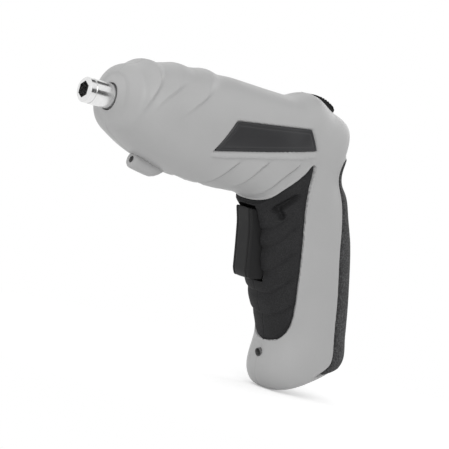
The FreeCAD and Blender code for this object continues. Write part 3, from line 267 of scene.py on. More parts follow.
def skin_place(points):
    """(along, turn) of side-view points: along by halving until the section's line passes the point, then turn."""
    points = np.asarray(points, float)
    low, high = np.zeros(points.shape[:-1]), np.full(points.shape[:-1], KNOTS[-1])
    for _ in range(HALVINGS):
        middle = (low + high) / 2
        weights = spline_weights(KNOTS, BENDS, middle)
        start = weights @ FRONT_LINE
        reach = weights @ BACK_LINE - start
        off = points - start
        ahead = off[..., 0] * reach[..., 1] > off[..., 1] * reach[..., 0]
        low, high = np.where(ahead, middle, low), np.where(ahead, high, middle)
    share = 2 * np.clip((off * reach).sum(-1) / (reach**2).sum(-1), 0, 1) - 1
    cosine = np.sign(share) * np.abs(share) ** (weights @ ROUND / 2)
    return middle, np.arccos(cosine)


# Shape helpers
def ease(low, high, value):
    """Smooth step from 0 at low to 1 at high: 3t^2 - 2t^3."""
    t = np.clip((value - low) / (high - low), 0, 1)
    return t * t * (3 - 2 * t)


def bell(distance, width):
    """Bump of height 1: e^-(d/w)^2."""
    return np.exp(-((distance / width) ** 2))


def spread(low, high, count, ends):
    """Places from low to high, drawn towards both ends: t - ends sin(2 pi t) / (2 pi)."""
    t = np.linspace(0, 1, count)
    return low + (high - low) * (t - ends * np.sin(2 * math.pi * t) / (2 * math.pi))


def smooth_path(points, count):
    """Even steps in the parameter of the cubic spline through a few points."""
    points = np.asarray(points, float)
    knots = steps_along(points)
    return spline_weights(knots, spline_bends(knots), np.linspace(0, knots[-1], count)) @ points


def rounded_outline(corners, radius, count):
    """Closed outline through straight sides, each corner a curve (1-t)^2 a + 2t(1-t) c + t^2 b, at even spacing."""
    corners = np.asarray(corners, float)
    before, after = np.roll(corners, 1, 0) - corners, np.roll(corners, -1, 0) - corners
    radius = np.broadcast_to(np.asarray(radius, float), len(corners))[:, None]
    start = corners + before / np.linalg.norm(before, axis=1, keepdims=True) * radius
    end = corners + after / np.linalg.norm(after, axis=1, keepdims=True) * radius
    t = np.linspace(0, 1, 9)[None, :, None]
    curve = (1 - t) ** 2 * start[:, None] + 2 * t * (1 - t) * corners[:, None] + t**2 * end[:, None]
    loop = curve.reshape(-1, 2)
    loop = np.concatenate([loop, loop[:1]])
    length = steps_along(loop)
    places = np.linspace(0, length[-1], count, endpoint=False)
    return np.stack([np.interp(places, length, loop[:, 0]), np.interp(places, length, loop[:, 1])], -1)


# A path is measured to this far from its box, and points beyond count as far behind it
PATH_REACH = 14.0
FAR_BEHIND = -126.0


def side_view(points):
    """The x and z of points."""
    return points[..., [0, 2]]


def offset_from(path, points):
    """Signed distance of points from a side-view path, above zero on its right hand, and the share along it."""
    shape = points.shape[:-1]
    spots = side_view(points).reshape(-1, 2)
    near = np.all((spots > path.min(0) - PATH_REACH) & (spots < path.max(0) + PATH_REACH), axis=1)
    distance, share = np.full(len(spots), FAR_BEHIND), np.zeros(len(spots))
    off = spots[near][:, None] - path[None]
    closest = np.argmin((off**2).sum(-1), axis=1)
    off = np.take_along_axis(off, closest[:, None, None], 1)[:, 0]
    way = np.gradient(path, axis=0)[closest]
    side = np.sign(off[:, 1] * -way[:, 0] + off[:, 0] * way[:, 1])
    distance[near] = side * np.linalg.norm(off, axis=1)
    share[near] = closest / (len(path) - 1)
    return distance.reshape(shape), share.reshape(shape)


def normals(points):
    """Unit normals of a grid of points: the cross product of its two directions."""
    normal = np.cross(np.gradient(points, axis=0), np.gradient(points, axis=1))
    return normal / np.maximum(np.linalg.norm(normal, axis=-1, keepdims=True), 1e-9)


def grid_faces(index, turned=False):
    """The four-cornered faces of a grid of point numbers."""
    corners = [index[:-1, :-1], index[1:, :-1], index[1:, 1:], index[:-1, 1:]]
    return np.stack(corners[::-1] if turned else corners, -1).reshape(-1, 4).tolist()


def closed_shell(outer, inner, step):
    """Points and faces between an outer grid and every step-th point of an inner one, closed round the border."""
    rows, columns = outer.shape[:2]
    over = np.arange(rows * columns).reshape(rows, columns)
    inner = inner[::step, ::step]
    under = rows * columns + np.arange(inner.shape[0] * inner.shape[1]).reshape(inner.shape[:2])

    def border(grid):
        return np.concatenate([grid[:-1, 0], grid[-1, :-1], grid[:0:-1, -1], grid[0, :0:-1]])

    high, low = border(over), border(under)
    spans = np.arange(len(low))[:, None] * step + np.arange(step, -1, -1)[None]
    rim = np.concatenate([high[spans % len(high)], low[:, None], np.roll(low, -1)[:, None]], 1)
    points = np.concatenate([outer.reshape(-1, 3), inner.reshape(-1, 3)])
    return points, grid_faces(over) + grid_faces(under, True) + rim.tolist()


def on_side(shape, side):
    """A shape made at y > 0 for the right side, mirrored for the left one."""
    points, faces = shape
    if side < 0:
        return points * [1, -1, 1], [face[::-1] for face in faces]
    return points, faces


def closed_tube(loops):
    """Points and faces of a stack of closed loops (rows, count, 3), its two ends filled with one face each."""
    rows, count = loops.shape[:2]
    index = np.arange(rows * count).reshape(rows, count)
    beside = np.roll(index, -1, 1)
    sides = np.stack([index[:-1], index[1:], beside[1:], beside[:-1]], -1).reshape(-1, 4)
    faces = sides.tolist() + [index[0].tolist(), index[-1][::-1].tolist()]
    points = loops.reshape(-1, 3)
    # The sum of the side faces' signed volumes says which way they look
    a, b, c, d = (points[sides[:, k]] - points.mean(0) for k in range(4))
    volume = (np.cross(a, b) * c).sum() + (np.cross(a, c) * d).sum()
    for end in faces[-2:]:
        ring = points[end] - points.mean(0)
        volume += (np.cross(ring[1:-1], ring[2:]) * ring[0]).sum()
    return points, faces if volume > 0 else [face[::-1] for face in faces]


# A bar's groove: how far inside the rounding it lies, and its width
BAR_GROOVE_AWAY, BAR_GROOVE_WIDTH = 0.7, 0.4


def rounded_bar(outline, half, rounding, groove=0.0):
    """A side-view outline carried across from -half to half.

    Near both ends it is drawn in by r - r cos a at y = r sin a, and beside that rounding by a groove g e^-(d/w)^2.
    """
    angle = np.linspace(0, math.pi / 2, 7)
    level = np.linspace(-(half - rounding), half - rounding, 25)[1:-1]
    edge = half - rounding + rounding * np.sin(angle)
    inset = rounding * (1 - np.cos(angle))
    across = np.concatenate([-edge[::-1], level, edge])
    drawn = np.concatenate([inset[::-1], 0 * level, inset])
    drawn += groove * bell(np.abs(across) - (half - rounding - BAR_GROOVE_AWAY), BAR_GROOVE_WIDTH)
    drawn = drawn[:, None, None]
    way = np.roll(outline, -1, 0) - np.roll(outline, 1, 0)
    way /= np.linalg.norm(way, axis=1, keepdims=True)
    area = (outline[:, 0] * np.roll(outline[:, 1], -1) - outline[:, 1] * np.roll(outline[:, 0], -1)).sum()
    out = np.stack([way[:, 1], -way[:, 0]], -1) * np.sign(area)
    loops = outline[None] - out[None] * drawn
    y = np.broadcast_to(across[:, None], loops.shape[:2])
    return closed_tube(np.stack([loops[..., 0], y, loops[..., 1]], -1))


def turned(profile, start, way, count):
    """A profile of (distance along the axis, radius) turned round an axis in the side view."""
    angle = np.linspace(0, 2 * math.pi, count, endpoint=False)
    axis = np.array([way[0], 0.0, way[1]]) / np.hypot(*way)
    up = np.array([-axis[2], 0.0, axis[0]])
    ring = np.cos(angle)[:, None] * up + np.sin(angle)[:, None] * np.array([0.0, 1.0, 0.0])
    along, radius = np.asarray(profile, float).T
    base = np.array([start[0], 0.0, start[1]])
    return closed_tube(base + along[:, None, None] * axis + radius[:, None, None] * ring[None])


# Placing a piece
def add_piece(name, shape, finish, body, replaced=(), cutters=(), crease=40.0):
    """Makes a mesh of a shape, takes the cutters out of it, and sets it on its body."""
    piece = bpy.data.objects.new(name, mesh_of(name, shape))
    bpy.context.scene.collection.objects.link(piece)
    if cutters:
        carve(piece, cutters)
    piece.data.materials.clear()
    piece.data.materials.append(finish)
    piece.data.shade_smooth()
    piece.data.set_sharp_from_angle(angle=math.radians(crease))
    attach(piece, body)
    if replaced:
        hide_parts(*replaced)
    return piece


def mesh_of(name, shape):
    points, faces = shape
    mesh = bpy.data.meshes.new(name)
    mesh.from_pydata((points * MM).tolist(), [], faces)
    mesh.update()
    return mesh


def carve(piece, cutters):
    """Takes closed shapes out of a piece with one Boolean, applied at once."""
    tools = []
    for number, shape in enumerate(cutters):
        tool = bpy.data.objects.new(f"cutter_{number}", mesh_of(f"cutter_{number}", shape))
        bpy.context.scene.collection.objects.link(tool)
        tools.append(tool)
        modifier = piece.modifiers.new(tool.name, "BOOLEAN")
        modifier.operation = "DIFFERENCE"
        modifier.solver = "MANIFOLD"
        modifier.object = tool
    seen = piece.evaluated_get(bpy.context.evaluated_depsgraph_get())
    carved = bpy.data.meshes.new_from_object(seen)
    piece.modifiers.clear()
    whole, piece.data = piece.data, carved
    bpy.data.meshes.remove(whole)
    for tool in tools:
        mesh = tool.data
        bpy.data.objects.remove(tool)
        bpy.data.meshes.remove(mesh)
    carved.name = piece.name


# Finishes
class Term:
    """A shader socket in a Python expression: each operator adds one Math node."""

    def __init__(self, finish, socket):
        self.finish = finish
        self.socket = socket

    def maths(self, operation, *values):
        inputs = dict(enumerate(values))
        return self.finish.node("ShaderNodeMath", {"operation": operation}, inputs)

    def __add__(self, other):
        return self.maths("ADD", self, other)

    def __sub__(self, other):
        return self.maths("SUBTRACT", self, other)

    def __rsub__(self, other):
        return self.maths("SUBTRACT", other, self)

    def __mul__(self, other):
        return self.maths("MULTIPLY", self, other)

    def __gt__(self, other):
        return self.maths("GREATER_THAN", self, other)

    __radd__ = __add__
    __rmul__ = __mul__


class Finish:
    """A material's node tree, built node by node."""

    def __init__(self, name, tree=None):
        if tree is None:
            self.material = bpy.data.materials.new(name)
            self.material.use_nodes = True
            tree = self.material.node_tree
        self.tree = tree
        self.tree.nodes.clear()

    def node(self, kind, settings=None, inputs=None, output=0):
        """Adds a node: its settings first, then each socket's value or link. Gives back one output as a Term."""
        made = self.tree.nodes.new(kind)
        for name, value in (settings or {}).items():
            if name == "stops":
                for stop, (place, level) in zip(made.color_ramp.elements, value):
                    stop.position = place
                    stop.color = (level, level, level, 1.0)
            else:
                setattr(made, name, value)
        for name, value in (inputs or {}).items():
            if isinstance(value, Term):
                self.tree.links.new(value.socket, made.inputs[name])
            else:
                made.inputs[name].default_value = value
        return Term(self, made.outputs[output]) if made.outputs else None

    def place(self, stretch=(1.0, 1.0, 1.0)):
        """The piece's own coordinates, stretched along its axes."""
        spot = self.node("ShaderNodeTexCoord", output="Object")
        if stretch == (1.0, 1.0, 1.0):
            return spot
        return self.node("ShaderNodeMapping", {}, {"Vector": spot, "Scale": stretch})

    def noise(self, size, stretch=(1.0, 1.0, 1.0), detail=3.0, roughness=0.55):
        """Cloudy noise whose patches are about so many millimetres across, from 0 to 1."""
        inputs = {"Vector": self.place(stretch), "Scale": 1 / (size * MM), "Detail": detail, "Roughness": roughness}
        return self.node("ShaderNodeTexNoise", {}, inputs)

    def cells(self, size):
        """Distance to the nearest point of a scatter about so many millimetres apart."""
        return self.node("ShaderNodeTexVoronoi", {}, {"Vector": self.place(), "Scale": 1 / (size * MM)})

    def ramp(self, value, low, high):
        """Value spread so that low becomes 0 and high becomes 1."""
        return self.node("ShaderNodeValToRGB", {"stops": ((low, 0.0), (high, 1.0))}, {"Fac": value})

    def blend(self, share, first, second):
        """Mix of two colours by a share from 0 to 1."""
        # A Mix node's sockets share their names, so the two colours and the result go by number
        inputs = {0: share, 6: (*first, 1.0), 7: (*second, 1.0)}
        return self.node("ShaderNodeMix", {"data_type": "RGBA"}, inputs, 2)

    def surface(self, relief=None, depth=0.1, strength=1.0, **sockets):
        """Closes the material with a Principled surface, its relief given in millimetres of depth."""
        inputs = {name.replace("_", " "): value for name, value in sockets.items()}
        if relief is not None:
            bump = {"Strength": strength, "Distance": depth * MM, "Height": relief}
            inputs["Normal"] = self.node("ShaderNodeBump", {}, bump)
        shader = self.node("ShaderNodeBsdfPrincipled", {}, inputs)
        self.node("ShaderNodeOutputMaterial", {}, {"Surface": shader})
        return self.material


def shade(colour, factor):
    """A colour made lighter or darker."""
    return tuple(min(1.0, part * factor) for part in colour)


def moulded_finish(name, colour, roughness, grain=0.5, depth=0.02, gloss=0.5):
    """Moulded plastic: fine spark-eroded grain, faint flow clouds and slightly uneven gloss."""
    finish = Finish(name)
    clouds = finish.noise(18.0)
    spark = finish.noise(grain, detail=2.0)
    rub = finish.noise(5.0, detail=4.0)
    colour = finish.blend(clouds * 0.6 + spark * 0.4, shade(colour, 0.93), shade(colour, 1.07))
    uneven = rub * 0.14 + (roughness - 0.07)
    return finish.surface(spark, depth, Base_Color=colour, Roughness=uneven, Specular_IOR_Level=gloss)


def rubber_finish(name, colour, speckle, grain, depth):
    """Soft rubber: a pebbled relief, with the raised pebbles rubbed paler."""
    finish = Finish(name)
    pebbles = finish.noise(grain, detail=3.0, roughness=0.6)
    dust = finish.noise(9.0, detail=4.0)
    worn = finish.ramp(pebbles, 0.42, 0.68) * (dust * 0.9 + 0.3)
    colour = finish.blend(worn, shade(colour, 0.75), shade(colour, speckle))
    return finish.surface(pebbles, depth, Base_Color=colour, Roughness=0.78 - worn * 0.16, Specular_IOR_Level=0.22)


def metal_finish(name, colour, roughness, stretch=(1.0, 1.0, 1.0), scale=0.6):
    """Bare metal: tool marks stretched along one way, with small changes of tone and gloss."""
    finish = Finish(name)
    marks = finish.noise(scale, stretch, detail=2.0)
    stain = finish.noise(4.0, detail=4.0)
    colour = finish.blend(stain, shade(colour, 0.9), shade(colour, 1.05))
    gloss = marks * 0.1 + stain * 0.06 + (roughness - 0.06)
    return finish.surface(marks, 0.004, Base_Color=colour, Roughness=gloss, Metallic=1.0)


def lens_finish(name, colour):
    """Clear moulded lens with a faint haze."""
    finish = Finish(name)
    haze = finish.noise(1.5)
    return finish.surface(
        Base_Color=finish.blend(haze, shade(colour, 0.94), colour),
        Roughness=haze * 0.06 + 0.02,
        Transmission_Weight=0.9,
        IOR=1.49,
    )


def board_finish(name, colour):
    """Green laminate with the weave of its glass cloth showing through."""
    finish = Finish(name)
    weave = finish.cells(0.5)
    tracks = finish.ramp(finish.noise(3.0, detail=1.0), 0.48, 0.52)
    colour = finish.blend(tracks * 0.6 + weave * 0.4, shade(colour, 0.8), shade(colour, 1.3))
    return finish.surface(weave, 0.02, Base_Color=colour, Roughness=0.4 + 0.1 * weave)


# Sizes and colours a user may change
def length_property(name, description, default):
    return bpy.props.FloatProperty(name=name, description=description, default=default, min=0.0)


def colour_property(name, description, default):
    return bpy.props.FloatVectorProperty(
        name=name, description=description, default=default, size=3, subtype="COLOR", min=0.0, max=1.0
    )


def slot_colour(slot):
    """The record's colour of a material slot."""
    return tuple(next(m["base_color"][:3] for m in frame["record"]["materials"] if m["slot"] == slot))


class ScrewdriverSizes(bpy.types.PropertyGroup):
    """Heights of the mouldings on the skin, in millimetres."""

    plate_step: length_property("Plate step", "Height of the first nose plate's crest, mm", 1.85)
    feather_step: length_property("Feather step", "Height of each swept edge on the barrel's side, mm", 1.1)
    ridge_height: length_property("Panel ridge", "Height of the ridge under the panel, mm", 0.95)
    seam_depth: length_property("Seam", "Depth of the groove where the halves meet, mm", 0.2)
    rib_depth: length_property("Rib groove", "Depth of the grooves between the grip's ribs, mm", 1.15)
    strap_rise: length_property("Strap rise", "How far the back strap stands above the shell, mm", 0.35)


class ScrewdriverColours(bpy.types.PropertyGroup):
    """Colours of the finishes that show."""

    shell: colour_property("Shell", "Grey of the two shell halves", (0.43, 0.43, 0.43))
    grip: colour_property("Grip", "Black of the grip pads", (0.02, 0.02, 0.021))
    strap: colour_property("Strap", "Black of the back strap", (0.046, 0.046, 0.047))
    panel: colour_property("Panel", "Dark grey of the side panels", (0.034, 0.034, 0.036))
    controls: colour_property("Controls", "Black of the trigger and the rocker", (0.021, 0.021, 0.0215))


# Features of the skin, in side-view millimetres from the pivot
def from_pivot(points):
    return PIVOT + np.asarray(points, float)


PLATE_EDGES = (
    [(-65.5, 58.5), (-69.0, 52.0), (-74.4, 43.0), (-77.6, 36.0), (-79.6, 28.0), (-79.6, 21.0), (-77.0, 15.0)],
    [(-50.0, 59.0), (-56.0, 52.5), (-66.8, 44.0), (-71.8, 38.5), (-74.0, 30.9), (-73.6, 21.2), (-71.0, 13.5)],
    [(-34.0, 59.5), (-43.0, 51.5), (-53.0, 42.6), (-59.0, 36.5), (-63.6, 29.0), (-65.2, 21.0), (-63.6, 13.0)],
)
FEATHER_EDGES = (
    [(-46.0, 12.4), (-41.4, 12.2), (-35.4, 12.6), (-31.5, 15.4), (-28.6, 20.0), (-23.4, 25.6)],
    [(-31.0, 11.4), (-27.3, 11.4), (-22.0, 12.2), (-18.4, 15.2), (-15.3, 20.4), (-8.4, 28.8)],
    [(-12.0, 11.5), (-8.6, 12.0), (-4.6, 14.2), (-1.2, 20.4), (3.0, 25.8), (9.6, 31.6)],
)
PANEL_RIDGE = [(-41.0, 23.4), (-31.2, 25.4), (-10.8, 29.4), (6.3, 32.6), (17.2, 35.0)]
PANEL_CORNERS = [(-40.3, 25.4), (-32.0, 41.3), (10.8, 46.7), (16.9, 37.7)]
GRIP_EDGE = [
    (-2.0, 7.5), (0.3, 10.0), (4.1, 15.4), (10.3, 22.4), (14.4, 27.8), (17.0, 31.2), (18.4, 26.0), (19.4, 18.0),
    (20.7, 8.0), (24.6, -10.0), (28.4, -27.5), (31.4, -40.5), (31.2, -46.5), (28.4, -51.2), (24.6, -53.8),
    (21.0, -54.8),
]
STRAP_EDGE = [
    (42.4, 38.0), (38.5, 37.0), (36.2, 32.7), (38.2, 26.2), (41.0, 19.0), (43.4, 8.5), (45.4, -2.3), (48.4, -13.6),
    (51.7, -24.8), (54.3, -35.4), (56.8, -45.6), (58.0, -51.6), (57.6, -54.8), (55.6, -57.4), (53.0, -59.8),
    (50.8, -61.8),
]
# Depth of the inlays' beds, half the width of their walls, and the raised rim round them
GRIP_BED = 3.2
STRAP_BED = 1.8
BED_WALL = 0.4
RIM_HEIGHT, RIM_AWAY, RIM_WIDTH = 0.5, 1.0, 0.5
PANEL_BED = 1.3


def half_width(node):
    """Half of a CAD node's size across the tool."""
    low, high = box_mm(node)
    return (high[1] - low[1]) / 2


TRIGGER_GAP = 0.4
TRIGGER_HALF = half_width("trigger")
ROCKER_HALF = half_width("direction_rocker")
ROCKER_LENGTH = 14.0
ROCKER_GAP = 0.65
ROCKER_SLOPE = math.radians(-23.4)
ROCKER_TILT = math.radians(9.0)
SCREW_SEAT = box_mm("housing_screws")[1][1] - 2.0
SCREW_HOLE = 3.0
SCREW_SLEEVE = 1.3
JACK_DOWN = 63.0
JACK_HOLE = 2.0
JACK_BORE = 1.8
LIGHT_BORE = 2.7
LIGHT_FRONT = np.array([NOSE_X + 17.4, -BARREL_DROP + 2.7])
LIGHT_WAY = np.array([math.cos(math.radians(9.0)), -math.sin(math.radians(9.0))])


class Border:
    """The edge of an inlay on the skin: a side-view path that goes once down the body."""

    def __init__(self, path):
        self.path = path
        along, turn = skin_place(path)
        order = np.argsort(along)
        self.along = along[order]
        self.turn = turn[order]

    def turn_at(self, along):
        """The edge's turn at each along."""
        return np.interp(along, self.along, self.turn)

    def distance(self, points):
        """Side-view distance from the edge."""
        return np.abs(offset_from(self.path, points)[0])


def grip_border():
    return Border(smooth_path(from_pivot(GRIP_EDGE), 220))


def strap_border():
    return Border(smooth_path(from_pivot(STRAP_EDGE), 240))


def panel_depth(points):
    """How far inside the panel's four sides a side-view point lies, below zero outside."""
    corners = from_pivot(PANEL_CORNERS)
    side = np.roll(corners, -1, 0) - corners
    inward = np.stack([side[:, 1], -side[:, 0]], -1) / np.linalg.norm(side, axis=1, keepdims=True)
    return ((side_view(points)[..., None, :] - corners) * inward).sum(-1).min(-1)


# A swept edge: length of its ramp and of its fall, and its groove's depth, place and width
FEATHER_RAMP, FEATHER_FALL = 4.5, 0.7
FEATHER_GROOVE, FEATHER_GROOVE_AWAY, FEATHER_GROOVE_WIDTH = 0.8, 0.8, 0.5


def feather_lift(points, path, height):
    """A swept edge: rises as h e^(d / ramp) up to the path, then falls into a groove, fading at its upper end."""
    distance, share = offset_from(path, points)
    ahead = np.exp(np.minimum(distance, 0) / FEATHER_RAMP)
    groove = FEATHER_GROOVE * bell(distance - FEATHER_GROOVE_AWAY, FEATHER_GROOVE_WIDTH)
    return ease(0.0, 0.15, 1 - share) * (height * ahead * (1 - ease(0.0, FEATHER_FALL, distance)) - groove)


# A nose plate: its fall's width and ramp on the sides, what the top adds, and the height of each of the three
PLATE_FALL, PLATE_FALL_OVER = 1.3, 3.9
PLATE_RAMP = 4.2
PLATE_SHARES = (1.0, 0.6, 0.72)


def plate_lift(points, path, height):
    """A nose plate: rises as h e^((w - d) / ramp) to a crest at a width w ahead of its edge, then falls to it.

    The fall is long over the top of the barrel and short on its sides, and the plate fades away low down.
    """
    ahead, share = offset_from(path, points)
    over = ease(45.0, 58.0, points[..., 2] - PIVOT[1])
    width = PLATE_FALL + PLATE_FALL_OVER * over
    slope = np.exp(np.minimum(width - ahead, 0) / (PLATE_RAMP - over))
    fade = ease(0.32, 0.72, 1 - share)
    return height * (1.25 - 0.25 * over) * fade * slope * ease(0.0, 1.0, ahead / width)


NOSE_LOWERING = 0.8
SEAM_WIDTH = 0.32


def shell_lift(points, along, turn, sizes):
    """Lift of the shell's skin: plates, feathers, ridge, seam, rims, and the beds of the inlays."""

    def path(edge):
        return smooth_path(from_pivot(edge), 120)

    x, y, z = np.moveaxis(points, -1, 0)
    # The nose's top lies a little under its sections
    from_nose = x - NOSE_X
    lift = -NOSE_LOWERING * ease(0.5, 8.0, from_nose) * (1 - ease(44.0, 58.0, from_nose)) * ease(-4.0, 10.0, z)
    lift -= sizes.seam_depth * bell(y, SEAM_WIDTH)
    for edge, height in zip(PLATE_EDGES, PLATE_SHARES):
        lift += plate_lift(points, path(edge), sizes.plate_step * height)
    for edge in FEATHER_EDGES:
        lift += feather_lift(points, path(edge), sizes.feather_step)
    ridge, share = offset_from(path(PANEL_RIDGE), points)
    crest = bell(ridge, np.where(ridge < 0, 1.5, 0.6))
    lift += sizes.ridge_height * crest * ease(0, 0.06, share) * ease(0, 0.06, 1 - share)
    lift -= (lift + PANEL_BED) * ease(-0.35, 0.35, panel_depth(points))
    grip, strap = grip_border(), strap_border()
    # The grip's rim shows only where the pad meets the barrel
    grip_rim = ease(7.0, 11.0, z - PIVOT[1])
    inlays = (
        (grip, turn > grip.turn_at(along), GRIP_BED, grip_rim),
        (strap, turn < strap.turn_at(along), STRAP_BED, 1.0),
    )
    for border, within, bed, rim in inlays:
        within = within & (along > border.along[0]) & (along < border.along[-1])
        depth = np.where(within, 1, -1) * border.distance(points)
        lift += RIM_HEIGHT * bell(depth + RIM_AWAY, RIM_WIDTH) * rim
        lift -= (lift + bed) * ease(-BED_WALL, BED_WALL, depth)
    return lift


# The shell's rows: over half of them go to this first stretch of the body, which has the finest relief
SHELL_ROWS, SHELL_COLUMNS = 413, 201
FINE_SHARE, FINE_LENGTH = 0.56, 118


def shell_shape(side, sizes):
    """Half of the skin from the collar's hole over the nose and down to the foot, with its wall inside."""
    turn = spread(0, math.pi, SHELL_COLUMNS, 0.3)
    along = np.interp(np.linspace(0, 1, SHELL_ROWS), (0, FINE_SHARE, 1), (0, FINE_LENGTH, KNOTS[-1]))
    points = skin_grid(along, turn)
    lift = shell_lift(points, along[:, None], turn[None], sizes)
    lifted = points + normals(points) * lift[..., None]
    # The dome round the collar's hole, h (1 - t)^1.5 high, and the hole's wall
    radius = COLLAR_HOLE + np.array([0.0, 0.0, 0.1, 0.4, 1.2, 2.3, 3.5, 4.5])
    dome = -NOSE_DOME * (1 - (radius - COLLAR_HOLE) / (NOSE_RADIUS - COLLAR_HOLE)) ** 1.5
    x = NOSE_X + dome + np.array([NOSE_DOME + WALL, 0.6, 0.2, 0.0, 0.0, 0.0, 0.0, 0.0])
    nose = points[:1] * [0, 1, 1] / NOSE_RADIUS * radius[:, None, None]
    nose[..., 0] = x[:, None]
    # The foot's underside, closing towards the seam
    share = np.array([0.07, 0.2, 0.35, 0.5, 0.66, 0.82, 0.93, 1.0])[:, None, None]
    rim = lifted[-1:]
    middle = rim.mean(1, keepdims=True) * [1, 0, 1]
    sole = middle + (rim - middle) * np.concatenate([1 - 0.25 * share, 1 - share, 1 - 0.25 * share], -1)
    outer = np.concatenate([nose, lifted, sole])
    inner = np.concatenate([nose, points, sole])
    inner = inner - normals(inner) * (WALL + 1.8)
    inner[: len(nose), :, 0] = NOSE_X + WALL
    plate = np.linspace(COLLAR_HOLE + 2.0, NOSE_RADIUS - 1.0, len(nose))
    inner[: len(nose), :, 1:] = (points[:1] / NOSE_RADIUS * plate[:, None, None])[..., 1:]
    inner[:, [0, -1], 1] = 0
    inner[-1, :, 1] = 0
    outer[:, [0, -1], 1] = 0
    return on_side(closed_shell(outer, inner, 4), side)


def slot_cutter():
    """The trigger's slot: its side-view corners carried across the tool."""
    corners = [
        *from_pivot([(-14.0, 7.2), (4.0, 7.2), (7.4, 11.2)]), TRIGGER_PIN + (4.0, 4.0), on_handle(0.0, 14.0),
        *from_pivot([(21.6, -23.4), (12.5, -26.1), (-14.0, -26.1)]),
    ]
    return rounded_bar(rounded_outline(corners, 1.2, 120), TRIGGER_HALF + TRIGGER_GAP, 0.3)


def rocker_frame(tilt):
    """The rocker's lengthwise and upward directions in the side view."""
    angle = ROCKER_SLOPE + tilt
    return np.array([math.cos(angle), math.sin(angle)]), np.array([-math.sin(angle), math.cos(angle)])


def rocker_cutter():
    """The rocker's opening: a rounded rectangle in plan, carried along the slope's upright."""
    length, width = ROCKER_LENGTH / 2 + ROCKER_GAP, ROCKER_HALF + ROCKER_GAP
    plan = rounded_outline([(-length, -width), (length, -width), (length, width), (-length, width)], 2.2, 96)
    lengthwise, up = rocker_frame(0.0)
    level = np.array([-3.0, 12.0])[:, None]
    side = ROCKER_PIN + plan[None, :, :1] * lengthwise + level[..., None] * up
    across = np.broadcast_to(plan[None, :, 1], side.shape[:2])
    return closed_tube(np.stack([side[..., 0], across, side[..., 1]], -1))


def turned_at_jack(profile):
    """A profile turned round the charging hole's axis, which is square to the handle."""
    return turned(profile, on_handle(JACK_DOWN, 0.0), on_handle(0, 1) - on_handle(0, 0), 48)


def jack_cutter():
    """The round hole in front of the charging jack."""
    return turned_at_jack([(-4.0, JACK_HOLE), (14.0, JACK_HOLE)])


def jack_cup():
    """The lining of the charging hole: a cup that stands just under the skin."""
    rim, outside = HANDLE_FRONT + 3.2, JACK_HOLE - 0.05
    floor, bottom = rim + 5.0, rim + 6.0
    return turned_at_jack(
        [(floor, 0.3), (floor, JACK_BORE), (rim, JACK_BORE), (rim, outside), (bottom, outside), (bottom, 0.3)]
    )


def light_cutter():
    """The work light's bore."""
    return turned([(-0.4, LIGHT_BORE), (4.0, LIGHT_BORE)], LIGHT_FRONT, LIGHT_WAY, 48)


def screw_places():
    """Side-view places of the six screws that show; the strap's heel covers the seventh."""
    motor = box_mm("motor_can")
    under = -(motor[1][2] + 2.7 + 1.6 + 0.6)
    return [
        (motor[0][0] + 16.0, under),
        (motor[1][0] + 2.0, under),
        (box_mm("motor_end_cap")[1][0] + 9.0, BARREL_RISE - 8.2),
        PIVOT + (36.0, 42.0),
        PIVOT + (13.5, 21.8),
        on_handle(HANDLE_FOOT - 11.5, 17.5),
    ]


WELL_ANGLES = np.linspace(0, 2 * math.pi, 40, endpoint=False)
WELL_WAYS = np.stack([np.cos(WELL_ANGLES), np.sin(WELL_ANGLES)], -1)


def cross_tube(place, across, radii):
    """Rings of given radii at given distances across the tool, round a side-view place."""
    side = np.asarray(place) + np.asarray(radii, float)[:, None, None] * WELL_WAYS
    across = np.broadcast_to(np.asarray(across, float).reshape(len(radii), -1), side.shape[:2])
    return closed_tube(np.stack([side[..., 0], across, side[..., 1]], -1))


def well_shape(place):
    """A screw's well: a sleeve from the head's seat up to just under the skin, which its mouth follows."""
    hole, wall = SCREW_HOLE, SCREW_HOLE + SCREW_SLEEVE
    mouth, edge = (skin(*skin_place(np.asarray(place) + radius * WELL_WAYS))[:, 1] for radius in (hole, wall))
    floor = np.full(len(WELL_WAYS), SCREW_SEAT)
    return cross_tube(place, [floor, mouth - 0.7, edge - 0.9, floor - 1.0], [hole, hole, wall, wall])


def hood_shape():
    """The work light's hood: a front with a small hole, a straight run, and a tail that sinks into the barrel."""
    profile = [
        (4.0, 0.4), (4.0, LIGHT_BORE), (1.2, LIGHT_BORE), (0.5, 1.6), (0.2, 1.5), (0.0, 1.65), (0.0, 2.9),
        (0.15, 3.35), (0.7, 3.7), (2.0, 3.82), (5.0, 3.86), (9.0, 3.86), (11.6, 3.8), (13.6, 3.5), (15.6, 3.05),
        (17.6, 2.5), (19.6, 1.7), (21.0, 0.9), (21.5, 0.3),
    ]
    points, faces = turned(profile, LIGHT_FRONT, LIGHT_WAY, 64)
    # The tail bends up by a square law behind the straight run
    behind = np.maximum((side_view(points) - LIGHT_FRONT) @ LIGHT_WAY - 10.0, 0.0)
    points[:, 2] += 0.05 * behind**2
    return points, faces


GRIP_EDGE_DROP = 0.8
GRIP_SEAM_WIDTH = 0.3


